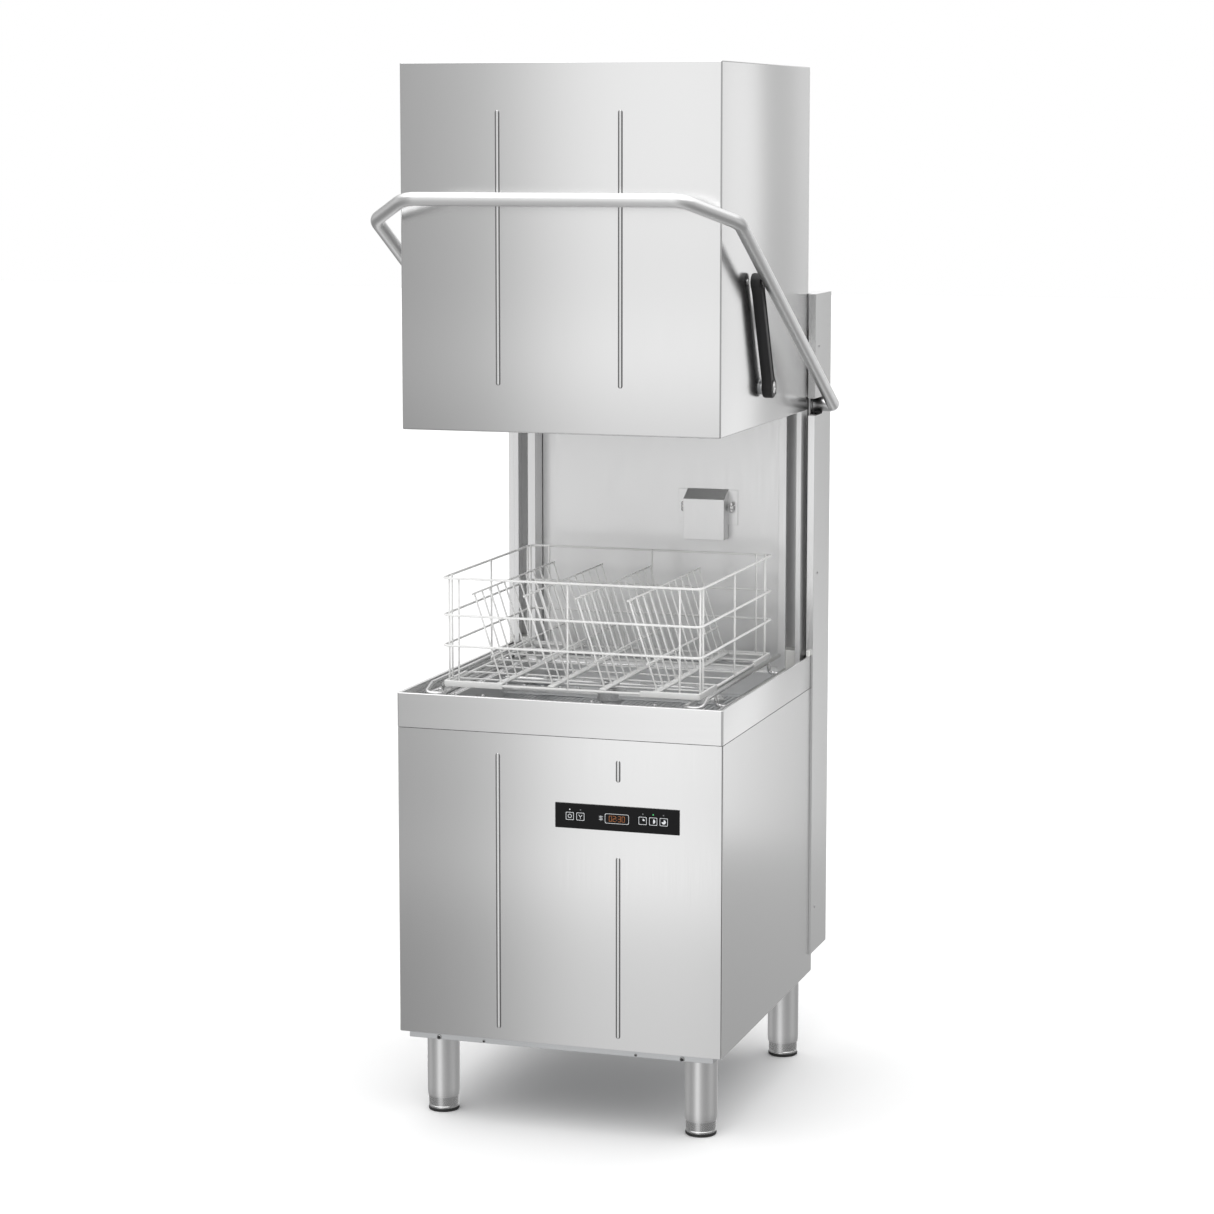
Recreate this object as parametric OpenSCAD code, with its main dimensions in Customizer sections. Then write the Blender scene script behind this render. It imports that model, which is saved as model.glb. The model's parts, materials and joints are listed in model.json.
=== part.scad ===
// Hood-type commercial dishwasher, hood raised, with one wire rack in place.
// X runs to the machine's right as seen from behind the controls, Y runs to the back, Z is up.
// The origin is on the floor under the centre of the overall footprint.

/* [Base cabinet] */
// Width of the table over its rim
base_w = 635; // [600:1:680]
// Depth of the table over its rim
base_d = 670; // [660:1:680]
// Height of the table rim above the floor
table_z = 820; // [815:1:830]
// Height of the band that runs round the table
band_h = 65; // [55:1:70]
// Height of the lower edge of the cabinet panels
panel_z = 168; // [160:1:172]
// Thickness of the panel sheet
sheet = 1.5; // [1:0.1:2]
// Outside diameter of a leg tube
leg_d = 62; // [56:1:64]
// Outside diameter of an adjustable foot
foot_d = 57; // [50:0.5:57]

/* [Hood] */
// Outside width of the hood
hood_w = 614; // [610:1:614]
// Outside depth of the hood
hood_d = 634; // [630:1:634]
// Height of the hood
hood_h = 674; // [660:1:690]
// Height of the raised hood's lower edge above the floor
hood_z = 1314; // [1300:1:1320]
// Thickness of the hood sheet
hood_sheet = 2; // [1.5:0.1:2]

/* [Rear columns] */
// Height of the top of a column above the floor
column_top = 1544; // [1540:1:1560]
// Height of the lower end of a column above the floor
column_foot = 207; // [190:1:230]
// How far the columns reach behind the table
column_reach = 102; // [100:1:110]

/* [Handle] */
// Diameter of the handle tube
handle_d = 25; // [22:0.5:25]
// Distance of each handle arm from the middle of the machine
arm_x = 347; // [345:1:360]
// Length from the pivot to the middle of the front bar
handle_len = 893; // [880:1:910]
// Angle of the raised handle above the horizontal
handle_angle = 28.2; // [25:0.1:30]

/* [Rack] */
// Side length of the square wire rack
rack_w = 500; // [495:1:500]
// Height of the rack's top wire above the floor
rack_top = 1032; // [1020:1:1040]

/* [Hidden] */
$fn = 48;

// Depths are measured back from the front edge of the table; place() centres the footprint.
pivot = [701, 1320];               // depth and height of the handle pivot
reach = handle_len * cos(handle_angle) + handle_d / 2 - pivot[0];
front_y = reach - (reach + base_d + column_reach) / 2;
back_d = base_d + column_reach;    // rear face of the columns

half_w = base_w / 2;
rim_lip = 7;
ledge_z = table_z - 30;            // top face of the ledge inside the rim
panel_top = table_z - band_h - 1;
panel_x = half_w - 2;              // half width of the front and rear panels
rail = 30;                         // side of the square frame tube
rail_x = 300;                      // outer face of the frame
rail_top = panel_z + 12;
boiler_top = rail_top + sheet + 310;

hood_x = hood_w / 2;
hood_front = 13;
hood_back = hood_front + hood_d;
wash_d = 328;                      // depth of the wash arms' axis, the middle of the rack

column_x = half_w + 5;
column_front = 645;
column_in = 250;                   // inner face of a column
guide_x = [256, 302];
guide_y = [618, 664];
guide_top = 1478;                  // just under the roof of the closed hood
slot_x = [272, 292];               // slot in the front of a guide

link_top = [203, 1587];            // pin on the handle arm, depth and height
link_low = [290, 1386.5];          // pivot on the side of the hood
link_x = [312.5, 332.5];
shaft_r = 8;
pin_r = 5;
run_gap = 0.06;                    // radial clearance of a running fit

spring_at = [283, 750];            // x and depth of a spring's axis
spring_z = [783, 1295];            // hook points at the anchor and at the lever

fascia_x = [-4, 236];
fascia_z = [584, 631];
key_size = [17.6, 16.8];
key_z = 607;
key_x = [24.7, 45.3, 165.7, 186, 206.2];

spindle_r = 8;
lower_arm_z = 768;
upper_arm_z = 1392;                // top of the upper wash arm's hub
pump_z = 330;
sump_x = -110;
standpipe_at = [-215, 545];
leg_at = [[-257, 76], [257, 76], [-270, 630], [270, 630]];
screw_depth = 675;

steel = [0.78, 0.79, 0.8];
satin = [0.7, 0.71, 0.72];
dark = [0.12, 0.12, 0.13];
white = [0.93, 0.93, 0.92];
grey = [0.45, 0.46, 0.48];

// ---- helpers ----

module place() translate([0, front_y, 0]) children();

// A box given by its low and high values along each axis
module block(x, y, z)
  translate([x[0], y[0], z[0]]) cube([x[1] - x[0], y[1] - y[0], z[1] - z[0]]);

module both_sides() {
  children();
  mirror([1, 0, 0]) children();
}

// Cylinders along each axis, placed by their other two coordinates
module rod_x(x, y, z, r) translate([x[0], y, z]) rotate([0, 90, 0]) cylinder(h = x[1] - x[0], r = r);
module rod_y(x, y, z, r) translate([x, y[0], z]) rotate([-90, 0, 0]) cylinder(h = y[1] - y[0], r = r);
module rod_z(x, y, z, r) translate([x, y, z[0]]) cylinder(h = z[1] - z[0], r = r);

// A square tube's ring in a horizontal plane
module frame_ring(z) difference() {
  block([-rail_x, rail_x], [8, 8 + 658], z);
  block([-rail_x + rail, rail_x - rail], [8 + rail, 666 - rail], [z[0] - 1, z[1] + 1]);
}

function unit(v) = v / norm(v);
function turn(a, b, c) = acos(unit(b - a) * unit(c - b));
function trim(p, i, bend) =
  (i == 0 || i == len(p) - 1) ? 0 : bend * tan(turn(p[i - 1], p[i], p[i + 1]) / 2);

module straight(a, b, r) {
  v = b - a;
  translate(a) rotate([0, acos(v[2] / norm(v)), atan2(v[1], v[0])]) cylinder(h = norm(v), r = r);
}

// The arc that joins leg a-b to leg b-c, with its centre on the inside of the bend
module elbow(a, b, c, bend, r) {
  angle = turn(a, b, c);
  inward = unit(unit(a - b) + unit(c - b));
  centre = b + inward * bend / cos(angle / 2);
  start = b + unit(a - b) * bend * tan(angle / 2);
  ex = unit(start - centre);
  ez = unit(cross(b - a, c - b));
  ey = cross(ez, ex);
  multmatrix([[ex[0], ey[0], ez[0], centre[0]],
              [ex[1], ey[1], ez[1], centre[1]],
              [ex[2], ey[2], ez[2], centre[2]],
              [0, 0, 0, 1]])
    rotate_extrude(angle = angle) translate([bend, 0]) circle(r = r);
}

// A round bar along the points p, with every inner corner bent to the same radius.
// Each straight runs a little way into the slimmer bend, so that the two join cleanly.
module bent_bar(p, bend, r) {
  last = len(p) - 1;
  into = 0.4;
  slim = 0.05;
  for (i = [0 : last - 1]) {
    along = unit(p[i + 1] - p[i]);
    straight(p[i] + along * (i > 0 ? trim(p, i, bend) - into : 0),
             p[i + 1] - along * (i + 1 < last ? trim(p, i + 1, bend) - into : 0), r);
  }
  for (i = [1 : last - 1]) elbow(p[i - 1], p[i], p[i + 1], bend, r - slim);
}

// The same bar as a pipe, with the bore a little longer than the pipe
module bent_pipe(p, bend, r, wall) difference() {
  bent_bar(p, bend, r);
  first = p[0] - unit(p[1] - p[0]);
  last = p[len(p) - 1] + unit(p[len(p) - 1] - p[len(p) - 2]);
  inner = [first, for (i = [1 : len(p) - 2]) p[i], last];
  bent_bar(inner, bend, r - wall);
}

// ---- cabinet ----

module frame() color(satin) place() {
  frame_ring([panel_z - 12, rail_top]);
  frame_ring([panel_top - 30, panel_top - 5]);
  for (x = [-rail_x, rail_x - rail], y = [8, 666 - rail])
    difference() {
      block([x, x + rail], [y, y + rail], [rail_top, panel_top - 30]);
      block([x + 2, x + rail - 2], [y + 2, y + rail - 2], [rail_top + 2, panel_top - 32]);
    }
}

module leg_tubes() color(satin) place()
  for (p = leg_at) difference() {
    rod_z(p[0], p[1], [28, panel_z - 12], leg_d / 2);
    rod_z(p[0], p[1], [20, panel_z - 20], leg_d / 2 - 2);
  }

module foot(i) color(satin) place() {
  p = leg_at[i];
  rod_z(p[0], p[1], [7, 100], foot_d / 2);
  rod_z(p[0], p[1], [0, 7], foot_d / 2 + 1);
}
module foot_front_left() foot(0);
module foot_front_right() foot(1);
module foot_rear_left() foot(2);
module foot_rear_right() foot(3);

module base_tray() color(satin) place() difference() {
  block([-298, 298], [10, 664], [rail_top, rail_top + sheet]);
  for (x = [-301, 269], y = [7, 635])
    block([x, x + 32], [y, y + 32], [rail_top - 1, rail_top + 3]);
}

// A side panel with its hem turned in under the lower edge
module side_panel() color(steel) place() {
  block([half_w - sheet, half_w], [3.5, base_d], [panel_z, panel_top]);
  block([half_w - 12, half_w - sheet], [8, base_d - 2], [panel_z, panel_z + sheet]);
}
module side_panel_right() side_panel();
module side_panel_left() mirror([1, 0, 0]) side_panel();

module rear_panel() color(satin) place() difference() {
  block([-panel_x, panel_x], [base_d - sheet, base_d], [panel_z, panel_top]);
  rod_y(0, [base_d - 5, base_d + 5], pump_z, 24);
  rod_y(40, [base_d - 5, base_d + 5], pump_z, 9);
  rod_y(-120, [base_d - 5, base_d + 5], 260, 14);
  rod_y(-220, [base_d - 5, base_d + 5], 220, 16);
  rod_y(220, [base_d - 5, base_d + 5], 250, 10.5);
}

// A pressed bead with round ends, standing proud of a front sheet at depth y
module bead(x, z, y) {
  bead_w = 9;
  proud = 1.2;
  block([x - bead_w / 2, x + bead_w / 2], [y - proud, y], [z[0] + bead_w / 2, z[1] - bead_w / 2]);
  for (end = [z[0] + bead_w / 2, z[1] - bead_w / 2])
    rod_y(x, [y - proud, y], end, bead_w / 2);
}

module front_panel() color(steel) place() {
  difference() {
    block([-panel_x, panel_x], [sheet, 2 * sheet], [panel_z, panel_top]);
    block([fascia_x[0] + 2, fascia_x[1] - 2], [0, 5], [fascia_z[0] + 2, fascia_z[1] - 2]);
  }
  both_sides() block([panel_x - sheet, panel_x], [2 * sheet, 7.5], [panel_z, panel_top]);
  bead(-117.5, [190, 716], sheet);
  bead(117.5, [675, 716], sheet);
  bead(117.5, [190, 534], sheet);
}

module screws() color(steel) place() {
  for (x = [-240, 240]) rod_y(x, [6, 8], panel_z - 8, 5);
  for (x = [-150, 150]) rod_y(x, [6.5, 8], panel_z - 8, 3);
  for (x = [48, 148]) {
    rod_y(x, [654, 663], 1112, 5);
    block([x - 4, x + 4], [651, 654], [1101, 1123]);
  }
  both_sides() for (z = [300, 985, 1440])
    rod_x([column_x, column_x + 1], screw_depth, z, 3.5);
}

// ---- table, tank and wash chamber ----

module table() color(steel) place() {
  z = [table_z - band_h, table_z];
  difference() {
    block([-half_w, half_w], [0, base_d], z);
    block([-half_w + sheet, half_w - sheet], [sheet, base_d - sheet], [z[0] - 1, z[1] - sheet]);
    block([-half_w + rim_lip, half_w - rim_lip], [rim_lip, base_d - 3], [z[0], z[1] + 1]);
  }
  difference() {
    block([-half_w + rim_lip, half_w - rim_lip], [rim_lip, base_d - 3], [ledge_z, table_z]);
    block([-half_w + rim_lip + sheet, half_w - rim_lip - sheet],
          [rim_lip + sheet, base_d - 3], [ledge_z + sheet, table_z + 1]);
    block([-266, 266], [57, 599], [ledge_z - 1, ledge_z + 5]);
  }
}

module wash_tank() color(satin) place() {
  tank_x = 264;
  tank_y = [59, 597];
  floor_z = 560;
  well_r = 70;
  difference() {
    union() {
      block([-tank_x, tank_x], tank_y, [floor_z, ledge_z]);
      block([-290, 290], [40, 616], [ledge_z - sheet, ledge_z]);
      rod_z(sump_x, wash_d, [480, floor_z + 1], well_r);
    }
    block([-tank_x + sheet, tank_x - sheet], [tank_y[0] + sheet, tank_y[1] - sheet],
          [floor_z + sheet, ledge_z + 1]);
    rod_z(sump_x, wash_d, [480 + sheet, floor_z + 2], well_r - sheet);
    rod_z(sump_x, wash_d, [470, 490], 20.5);
    rod_z(0, wash_d, [floor_z - 5, floor_z + 5], 18.5);
    rod_z(standpipe_at[0], standpipe_at[1], [floor_z - 5, floor_z + 5], 16);
    for (x = [60, 200]) rod_y(x, [50, 70], 590, 5);
  }
  // strips that the filter plate rests on
  both_sides() block([240, tank_x - sheet], [80, 576], [736, 740]);
}

module tank_filter() color(satin) place() difference() {
  block([-260, 260], [63, 593], [740, 742]);
  rod_z(0, wash_d, [730, 750], 26);
  rod_z(sump_x, wash_d, [730, 750], 51);
  rod_z(standpipe_at[0], standpipe_at[1], [730, 750], 25);
}

module sump_filter() color(satin) place() {
  difference() {
    union() {
      rod_z(sump_x, wash_d, [500, 742], 50);
      rod_z(sump_x, wash_d, [742, 744], 58);
    }
    rod_z(sump_x, wash_d, [502, 750], 48.5);
  }
  block([sump_x - 49, sump_x + 49], [wash_d - 4, wash_d + 4], [738, 742]);
}

module standpipe() color(grey) place() {
  x = standpipe_at[0];
  y = standpipe_at[1];
  difference() {
    rod_z(x, y, [562, 762], 20);
    rod_z(x, y, [561, 752], 16);
    for (a = [0, 90]) translate([x, y, 720]) rotate([0, 0, a]) cube([60, 12, 30], center = true);
  }
  rod_z(x, y, [762, 770], 14);
}

module back_wall() color(steel) place() difference() {
  block([-255, 255], [664.5, 666], [ledge_z + sheet, guide_top]);
  rod_y(0, [660, 670], 1415, 22);
  rod_y(34, [660, 670], 1415, 7.5);
}

// Small vent box with a sloping roof, on its mounting plate
module vent_deflector() color(steel) place() {
  box_x = [55, 140];
  box_z = [1048, 1130];
  box_y = [630, 663];
  roof_rise = 18;
  difference() {
    block([36, 160], [663, 664.5], [1076, 1147]);
    for (x = [48, 148]) rod_y(x, [660, 670], 1112, 3);
  }
  difference() {
    translate([box_x[0], 0, 0]) rotate([90, 0, 90]) linear_extrude(box_x[1] - box_x[0])
      polygon([[box_y[0], box_z[0]], [box_y[1], box_z[0]],
               [box_y[1], box_z[1] + roof_rise], [box_y[0], box_z[1]]]);
    translate([box_x[0] + sheet, 0, 0]) rotate([90, 0, 90])
      linear_extrude(box_x[1] - box_x[0] - 2 * sheet)
      polygon([[box_y[0] + sheet, box_z[0] - 1], [box_y[1] + 1, box_z[0] - 1],
               [box_y[1] + 1, box_z[1] + roof_rise - sheet], [box_y[0] + sheet, box_z[1] - sheet]]);
  }
}

// ---- rear columns ----

// The right column: cover, cap, foot plate, bearing plate and spring anchor
module column() color(steel) place() {
  x = column_x;
  y = back_d;
  difference() {
    union() {
      block([x - sheet, x], [column_front, y], [column_foot, column_top]);
      block([hood_x + 1, x - sheet], [column_front, column_front + sheet], [table_z + 1, column_top]);
      block([half_w, x - sheet], [column_front, column_front + sheet], [column_foot, table_z]);
      block([column_in, x - sheet], [y - sheet, y], [column_foot, column_top]);
      block([column_in, column_in + sheet], [base_d + 1, y - sheet], [column_foot, column_top]);
      block([column_in + sheet, x - sheet], [base_d + 1, base_d + 1 + sheet], [column_foot, column_top]);
      block([column_in + sheet, x - sheet], [base_d + 2, y - sheet], [column_foot, column_foot + sheet]);
      block([hood_x + 1, x - sheet], [column_front + sheet, base_d + 2], [column_top - sheet, column_top]);
      block([column_in, x - sheet], [base_d + 1, y - sheet], [column_top - sheet, column_top]);
    }
    // slot that the handle's end passes through
    block([hood_x - 1, x + 1], [column_front - 1, pivot[0]], [pivot[1] - 17, pivot[1] + 17]);
    rod_x([hood_x - 1, x + 1], pivot[0], pivot[1], 17);
  }
  difference() {
    block([296, 299], [base_d + 2.5, y - sheet], [1275, 1365]);
    rod_x([290, 305], pivot[0], pivot[1], 17);
  }
  block([column_in + sheet, x - sheet], [base_d + 2.5, y - sheet], [755, 758]);
  difference() {
    block([spring_at[0] - 2, spring_at[0] + 2], [735, 765], [758, 791]);
    rod_x([270, 290], spring_at[1], spring_z[0], 3.2);
  }
}
module column_right() column();
module column_left() mirror([1, 0, 0]) column();

// C-shaped rail, open to the front through its slot
module guide() color(steel) place() difference() {
  block(guide_x, guide_y, [ledge_z + sheet, guide_top]);
  block([guide_x[0] + 2, guide_x[1] - 2], [guide_y[0] + 2, guide_y[1] - 2], [0, column_top]);
  block(slot_x, [guide_y[0] - 1, guide_y[0] + 3], [0, column_top]);
}
module guide_right() guide();
module guide_left() mirror([1, 0, 0]) guide();

module hood_stops() color(white) place() both_sides() {
  block([259.5, 298.5], [621.5, 660.5], [ledge_z + sheet, 833.5]);
  block([half_w - 6.5, half_w], [633, 644.5], [table_z, table_z + 12]);
}

module pivot_bushes() color(dark) place() both_sides() difference() {
  union() {
    rod_x([292, 306], pivot[0], pivot[1], 17);
    rod_x([299, 303], pivot[0], pivot[1], 21);
  }
  rod_x([290, 308], pivot[0], pivot[1], shaft_r + run_gap);
}

// Close-coiled extension spring, its coils drawn as ridges, with a ring hook at each end
module spring() {
  coil_r = 10;
  wire_r = 2;
  hook_r = 8;
  low = spring_z[0] + 2 * hook_r;
  coils = floor((spring_z[1] - spring_z[0] - 4 * hook_r) / (2 * wire_r));
  ridges = [for (i = [0 : coils - 1], k = [0, 1]) [coil_r + (k == 0 ? 0 : wire_r), (2 * i + k) * wire_r]];
  top = coils * 2 * wire_r;
  translate([spring_at[0], spring_at[1], low]) rotate_extrude()
    polygon(concat([[coil_r - wire_r, 0]], ridges, [[coil_r, top], [coil_r - wire_r, top]]));
  for (z = [spring_z[0] + hook_r, spring_z[1] - hook_r])
    translate([spring_at[0], spring_at[1], z]) rotate([90, 0, 0])
      rotate_extrude() translate([hook_r, 0]) circle(r = 1.6, $fn = 24);
}
module springs() color(grey) place() both_sides() spring();

// ---- controls ----

module key_windows(gap, y)
  for (x = key_x)
    block([x - key_size[0] / 2 - gap, x + key_size[0] / 2 + gap], y,
          [key_z - key_size[1] / 2 - gap, key_z + key_size[1] / 2 + gap]);

module control_fascia() color(dark) place() difference() {
  block(fascia_x, [-sheet, sheet], fascia_z);
  key_windows(0.35, [-5, 5]);
}

module key(i) color(dark) place() {
  x = key_x[i];
  block([x - key_size[0] / 2, x + key_size[0] / 2], [-sheet, 4],
        [key_z - key_size[1] / 2, key_z + key_size[1] / 2]);
}
module key_power() key(0);
module key_drain() key(1);
module key_short() key(2);
module key_medium() key(3);
module key_long() key(4);

module control_board() color([0.1, 0.35, 0.2]) place() {
  block([0, 232], [16, 18], [560, 655]);
  block([93, 139], [8, 16], [597, 617]);
  for (x = key_x) block([x - 4, x + 4], [11, 16], [key_z - 4, key_z + 4]);
  block([150, 190], [18, 34], [570, 590]);
}

module electrical_box() color(grey) place() difference() {
  block([60, 262], [60, 190], [rail_top + sheet, 420]);
  block([62, 260], [62, 188], [rail_top + 2 * sheet, 418]);
}

// ---- water system ----

module boiler() color(steel) place() {
  r = 95;
  translate([180, 530, rail_top + sheet]) {
    difference() {
      rotate_extrude() union() {
        translate([0, 20]) square([r, 230]);
        intersection() {
          translate([0, 250]) scale([1, 1]) circle(r = r);
          translate([0, 250]) square([r, 60]);
        }
      }
      translate([0, 0, 22]) cylinder(h = 225, r = r - 2);
    }
    cylinder(h = 20, r = 40);
  }
}

module tank_element() color(satin) place()
  bent_bar([[60, 50, 590], [60, 530, 590], [200, 530, 590], [200, 50, 590]], 30, 4);

module wash_pump_housing() color(dark) place() difference() {
  union() {
    rod_x([-32, 32], wash_d, pump_z, 85);
    rod_z(0, wash_d, [pump_z, 500], 22);
    rod_y(0, [wash_d, 440], pump_z, 24);
    rod_x([-60, -32], wash_d, pump_z, 24);
  }
  rod_x([-26, 26], wash_d, pump_z, 78);
  rod_x([-61, -26], wash_d, pump_z, 20.1);
  rod_x([25, 33], wash_d, pump_z, shaft_r + run_gap);
  rod_z(0, wash_d, [pump_z + 40, 501], 18);
  rod_y(0, [wash_d + 40, 441], pump_z, 20.1);
}

module impeller() color(grey) place() {
  difference() {
    rod_x([-16, 14], wash_d, pump_z, 70);
    rod_x([-12, 15], wash_d, pump_z, 66);
  }
  for (a = [20 : 60 : 320]) translate([0, wash_d, pump_z]) rotate([a, 0, 0])
    block([-13, 12], [5, 68], [-2, 2]);
  rod_x([-14, 80], wash_d, pump_z, shaft_r);
}

module wash_pump_motor() color(grey) place() {
  difference() {
    union() {
      rod_x([32.5, 215], wash_d, pump_z, 60);
      for (x = [60 : 15 : 195]) rod_x([x, x + 4], wash_d, pump_z, 66);
      rod_x([215, 232], wash_d, pump_z, 50);
    }
    rod_x([30, 90], wash_d, pump_z, shaft_r + run_gap);
  }
  for (x = [70, 170]) block([x, x + 20], [wash_d - 45, wash_d + 45], [rail_top + sheet, pump_z - 55]);
}

module drain_pump() color(dark) place() {
  rod_z(-215, 545, [rail_top + sheet, 250], 40);
  rod_z(-215, 545, [250, 300], 30);
  rod_z(-215, 545, [300, 560], 16);
}

module dosing_pumps() color(grey) place() for (x = [-250, -180]) {
  block([x, x + 55], [45, 90], [360, 440]);
  rod_y(x + 27.5, [35, 45], 400, 24);
}

// Three-quarter inch inlet with its solenoid valve
module inlet_valve() color(grey) place() {
  rod_y(-120, [base_d - 60, base_d + 28], 260, 13.2);
  rod_y(-120, [base_d - 6, base_d - sheet], 260, 18);
  rod_y(-120, [base_d, base_d + 4], 260, 18);
  block([-140, -100], [580, 612], [240, 300]);
}

module drain_spigot() color(dark) place() difference() {
  union() {
    rod_y(-220, [590, base_d + 38], 220, 15);
    rod_y(-220, [base_d - 8, base_d - sheet], 220, 21);
    rod_y(-220, [base_d, base_d + 5], 220, 21);
  }
  rod_y(-220, [595, base_d + 40], 220, 12.5);
}

module cable_gland() color(dark) place() difference() {
  union() {
    rod_y(220, [base_d - 12, base_d + 8], 250, 10);
    rod_y(220, [base_d, base_d + 14], 250, 15);
    rod_y(220, [base_d - 8, base_d - sheet], 250, 14);
  }
  rod_y(220, [base_d - 15, base_d + 16], 250, 6);
}

module hoses() color(dark) place() {
  bent_bar([[-99, 596, 270], [-50, 596, 270], [-50, 560, 270], [88, 560, 270]], 18, 6);
  bent_bar([[-222, 68, 441], [-222, 68, 540], [-222, 58, 540]], 8, 4);
}

// Pipes that feed the arms, and the two spindles that the arms turn on
module manifold() color(satin) place() {
  // suction from the well to the pump
  bent_pipe([[sump_x, wash_d, 490], [sump_x, wash_d, pump_z], [-26, wash_d, pump_z]], 45, 20, 1.5);
  // lower feed and spindle
  rod_z(0, wash_d, [500, lower_arm_z - 2], 18);
  rod_z(0, wash_d, [lower_arm_z - 2, 808], spindle_r);
  rod_z(0, wash_d, [807, 812], 14);
  // upper feed and spindle
  bent_pipe([[0, 430, pump_z], [0, 705, pump_z], [0, 705, 1415], [0, wash_d, 1415]], 45, 20, 1.5);
  rod_y(0, [wash_d - 22, wash_d + 1], 1415, 20);
  rod_z(0, wash_d, [1350, 1400], spindle_r);
  rod_z(0, wash_d, [1342, 1350], 14);
  // rinse pipe from the boiler, up behind the wall and over to the upper arm
  bent_bar([[180, 530, boiler_top], [180, 530, 526], [180, 655, 526], [40, 655, 526], [40, 655, pump_z],
            [40, 690, pump_z], [34, 690, 1415], [34, wash_d, 1415], [18, wash_d, 1415]], 14, 7);
}

// A turning arm: hub on the spindle and two blades, with nozzles on the side that faces the rack
module spray_arm(z, blade_w, blade_h, length, hub_r, up) place() translate([0, wash_d, z]) {
  difference() {
    union() {
      cylinder(h = blade_h, r = hub_r);
      translate([-length, -blade_w / 2, 2]) cube([2 * length, blade_w, blade_h - 4]);
    }
    translate([0, 0, -1]) cylinder(h = blade_h + 2, r = spindle_r + run_gap);
  }
  face = up ? blade_h - 2 : -1;
  for (side = [-1, 1], i = [1 : 5])
    translate([side * (hub_r + (length - hub_r - 12) * i / 5), 0, face]) cylinder(h = 3, r = 4);
}
module lower_wash_arm() color(steel) spray_arm(lower_arm_z, 44, 20, 228, 30, true);
module lower_rinse_arm() color(steel) spray_arm(792, 14, 14, 224, 20, true);
module upper_wash_arm() color(steel) spray_arm(1371, 44, 20, 228, 30, false);
module upper_rinse_arm() color(steel) spray_arm(1353, 14, 14, 224, 20, false);

// ---- rack and its guide ----

module rack_guide() color(steel) place() {
  guide_z = 828;
  carry_z = 817;
  both_sides() {
    // hairpin: thick side rod, dipped and turned in at the front to become the carrying rod
    bent_bar([[263, 575, guide_z], [263, 62, guide_z], [263, 26, carry_z], [236, 26, carry_z],
              [236, 592, carry_z]], 12, 4.5);
    bent_bar([[284, 560, 803], [284, 30, 803], [252, 30, 810], [252, 60, 811]], 9, 2.5);
    for (y = [120, 500]) {
      bent_bar([[263, y, guide_z - 2], [263, y, 806], [275, y, 806], [275, y, ledge_z + sheet]], 5, 3);
      rod_x([263, 284], y + 4, 804, 2.5);
    }
  }
  for (y = [45, 592]) rod_x([-240, 240], y, 809, 4);
  for (x = [-221, -162, 52, 174]) rod_z(x, 45, [809, 817], 3);
}

// The rack's side as seen from outside: posts at these places along it
rack_posts = [-241, -222, -6, 212];
rack_z = 822.3;

module rack_ring(z, half, r) place() translate([0, wash_d, z])
  bent_bar([[0, -half, 0], [half, -half, 0], [half, half, 0], [-half, half, 0],
            [-half, -half, 0], [0, -half, 0]], 14, r);

module rack_frame() color(white) {
  half = rack_w / 2;
  ring_half = half + 3.3;            // the rings are welded on outside the posts
  for (z = [901, 959, rack_top - 2.5]) rack_ring(z, ring_half, 2.5);
  place() translate([0, wash_d, 0]) {
    for (a = [0 : 90 : 270]) rotate([0, 0, a]) {
      for (x = rack_posts) rod_z(x, -half + 1, [rack_z + 5, rack_top - 2], 2);
      block([-half, half], [-half, -half + 4], [rack_z + 3, rack_z + 8]);
      block([-half, -half + 115], [-half - 2, -half + 3], [rack_z, rack_z + 12]);
      block([half - 115, half], [-half - 2, -half + 3], [rack_z, rack_z + 12]);
    }
    for (y = [-185 : 74 : 185]) rod_x([-half + 3, half - 3], y, rack_z + 5.5, 2);
  }
}

// Four leaning rows that hold glasses, each on a flat strip
module rack_dividers() color(white) place() translate([0, wash_d, rack_z + 7.5]) {
  lean = 18;
  height = 178;
  rods = 12;
  row_x = [-143, -41, 61, 163];
  for (x = row_x) translate([x, 0, 0]) {
    block([-7, 7], [-244, 244], [0, 3.5]);
    for (i = [0 : rods - 1])
      translate([0, -231 + i * 42, 2]) rotate([0, -lean, 0]) cylinder(h = height, r = 1.8);
    for (h = [55, height]) rotate([0, -lean, 0]) rod_y(0, [-240, 240], h, 2);
  }
}

// ---- hood ----

module hood_shell() color(steel) place() {
  x = hood_x;
  y = [hood_front, hood_back];
  z = [hood_z, hood_z + hood_h];
  t = hood_sheet;
  difference() {
    block([-x, x], y, z);
    block([-x + t, x - t], [y[0] + t, y[1] + 1], [z[0] - 1, z[1] - t]);
  }
  // hem turned in along the lower edge, narrow at the front to pass the rack guide
  block([-x + t, x - t], [y[0] + t, y[0] + 7], [z[0], z[0] + t]);
  both_sides() block([x - 13, x - t], [y[0] + 7, 605], [z[0], z[0] + t]);
  block([-250, 250], [y[1] - t, y[1]], [z[1] - 38, z[1] - t]);
  for (side = [-117.5, 117.5]) bead(side, [z[0] + 86, z[0] + 587], y[0]);
}

// Runner bars, stems through the guide slots, and the washers under the links
module hood_frame() color(satin) place() both_sides() {
  block([276, hood_x - hood_sheet], [610, 614], [hood_z + 16, hood_z + hood_h - 13]);
  for (z = [hood_z + 30, hood_z + 104]) block([278, 286], [614, 621.5], [z, z + 50]);
  rod_x([hood_x, hood_x + 4.5], link_low[0], link_low[1], 14);
}

module hood_shoes() color(white) place() both_sides()
  for (z = [hood_z + 26, hood_z + 100])
    block([259.5, 298.5], [621.5, 660.5], [z, z + 60]);

// ---- handle and links ----

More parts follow.
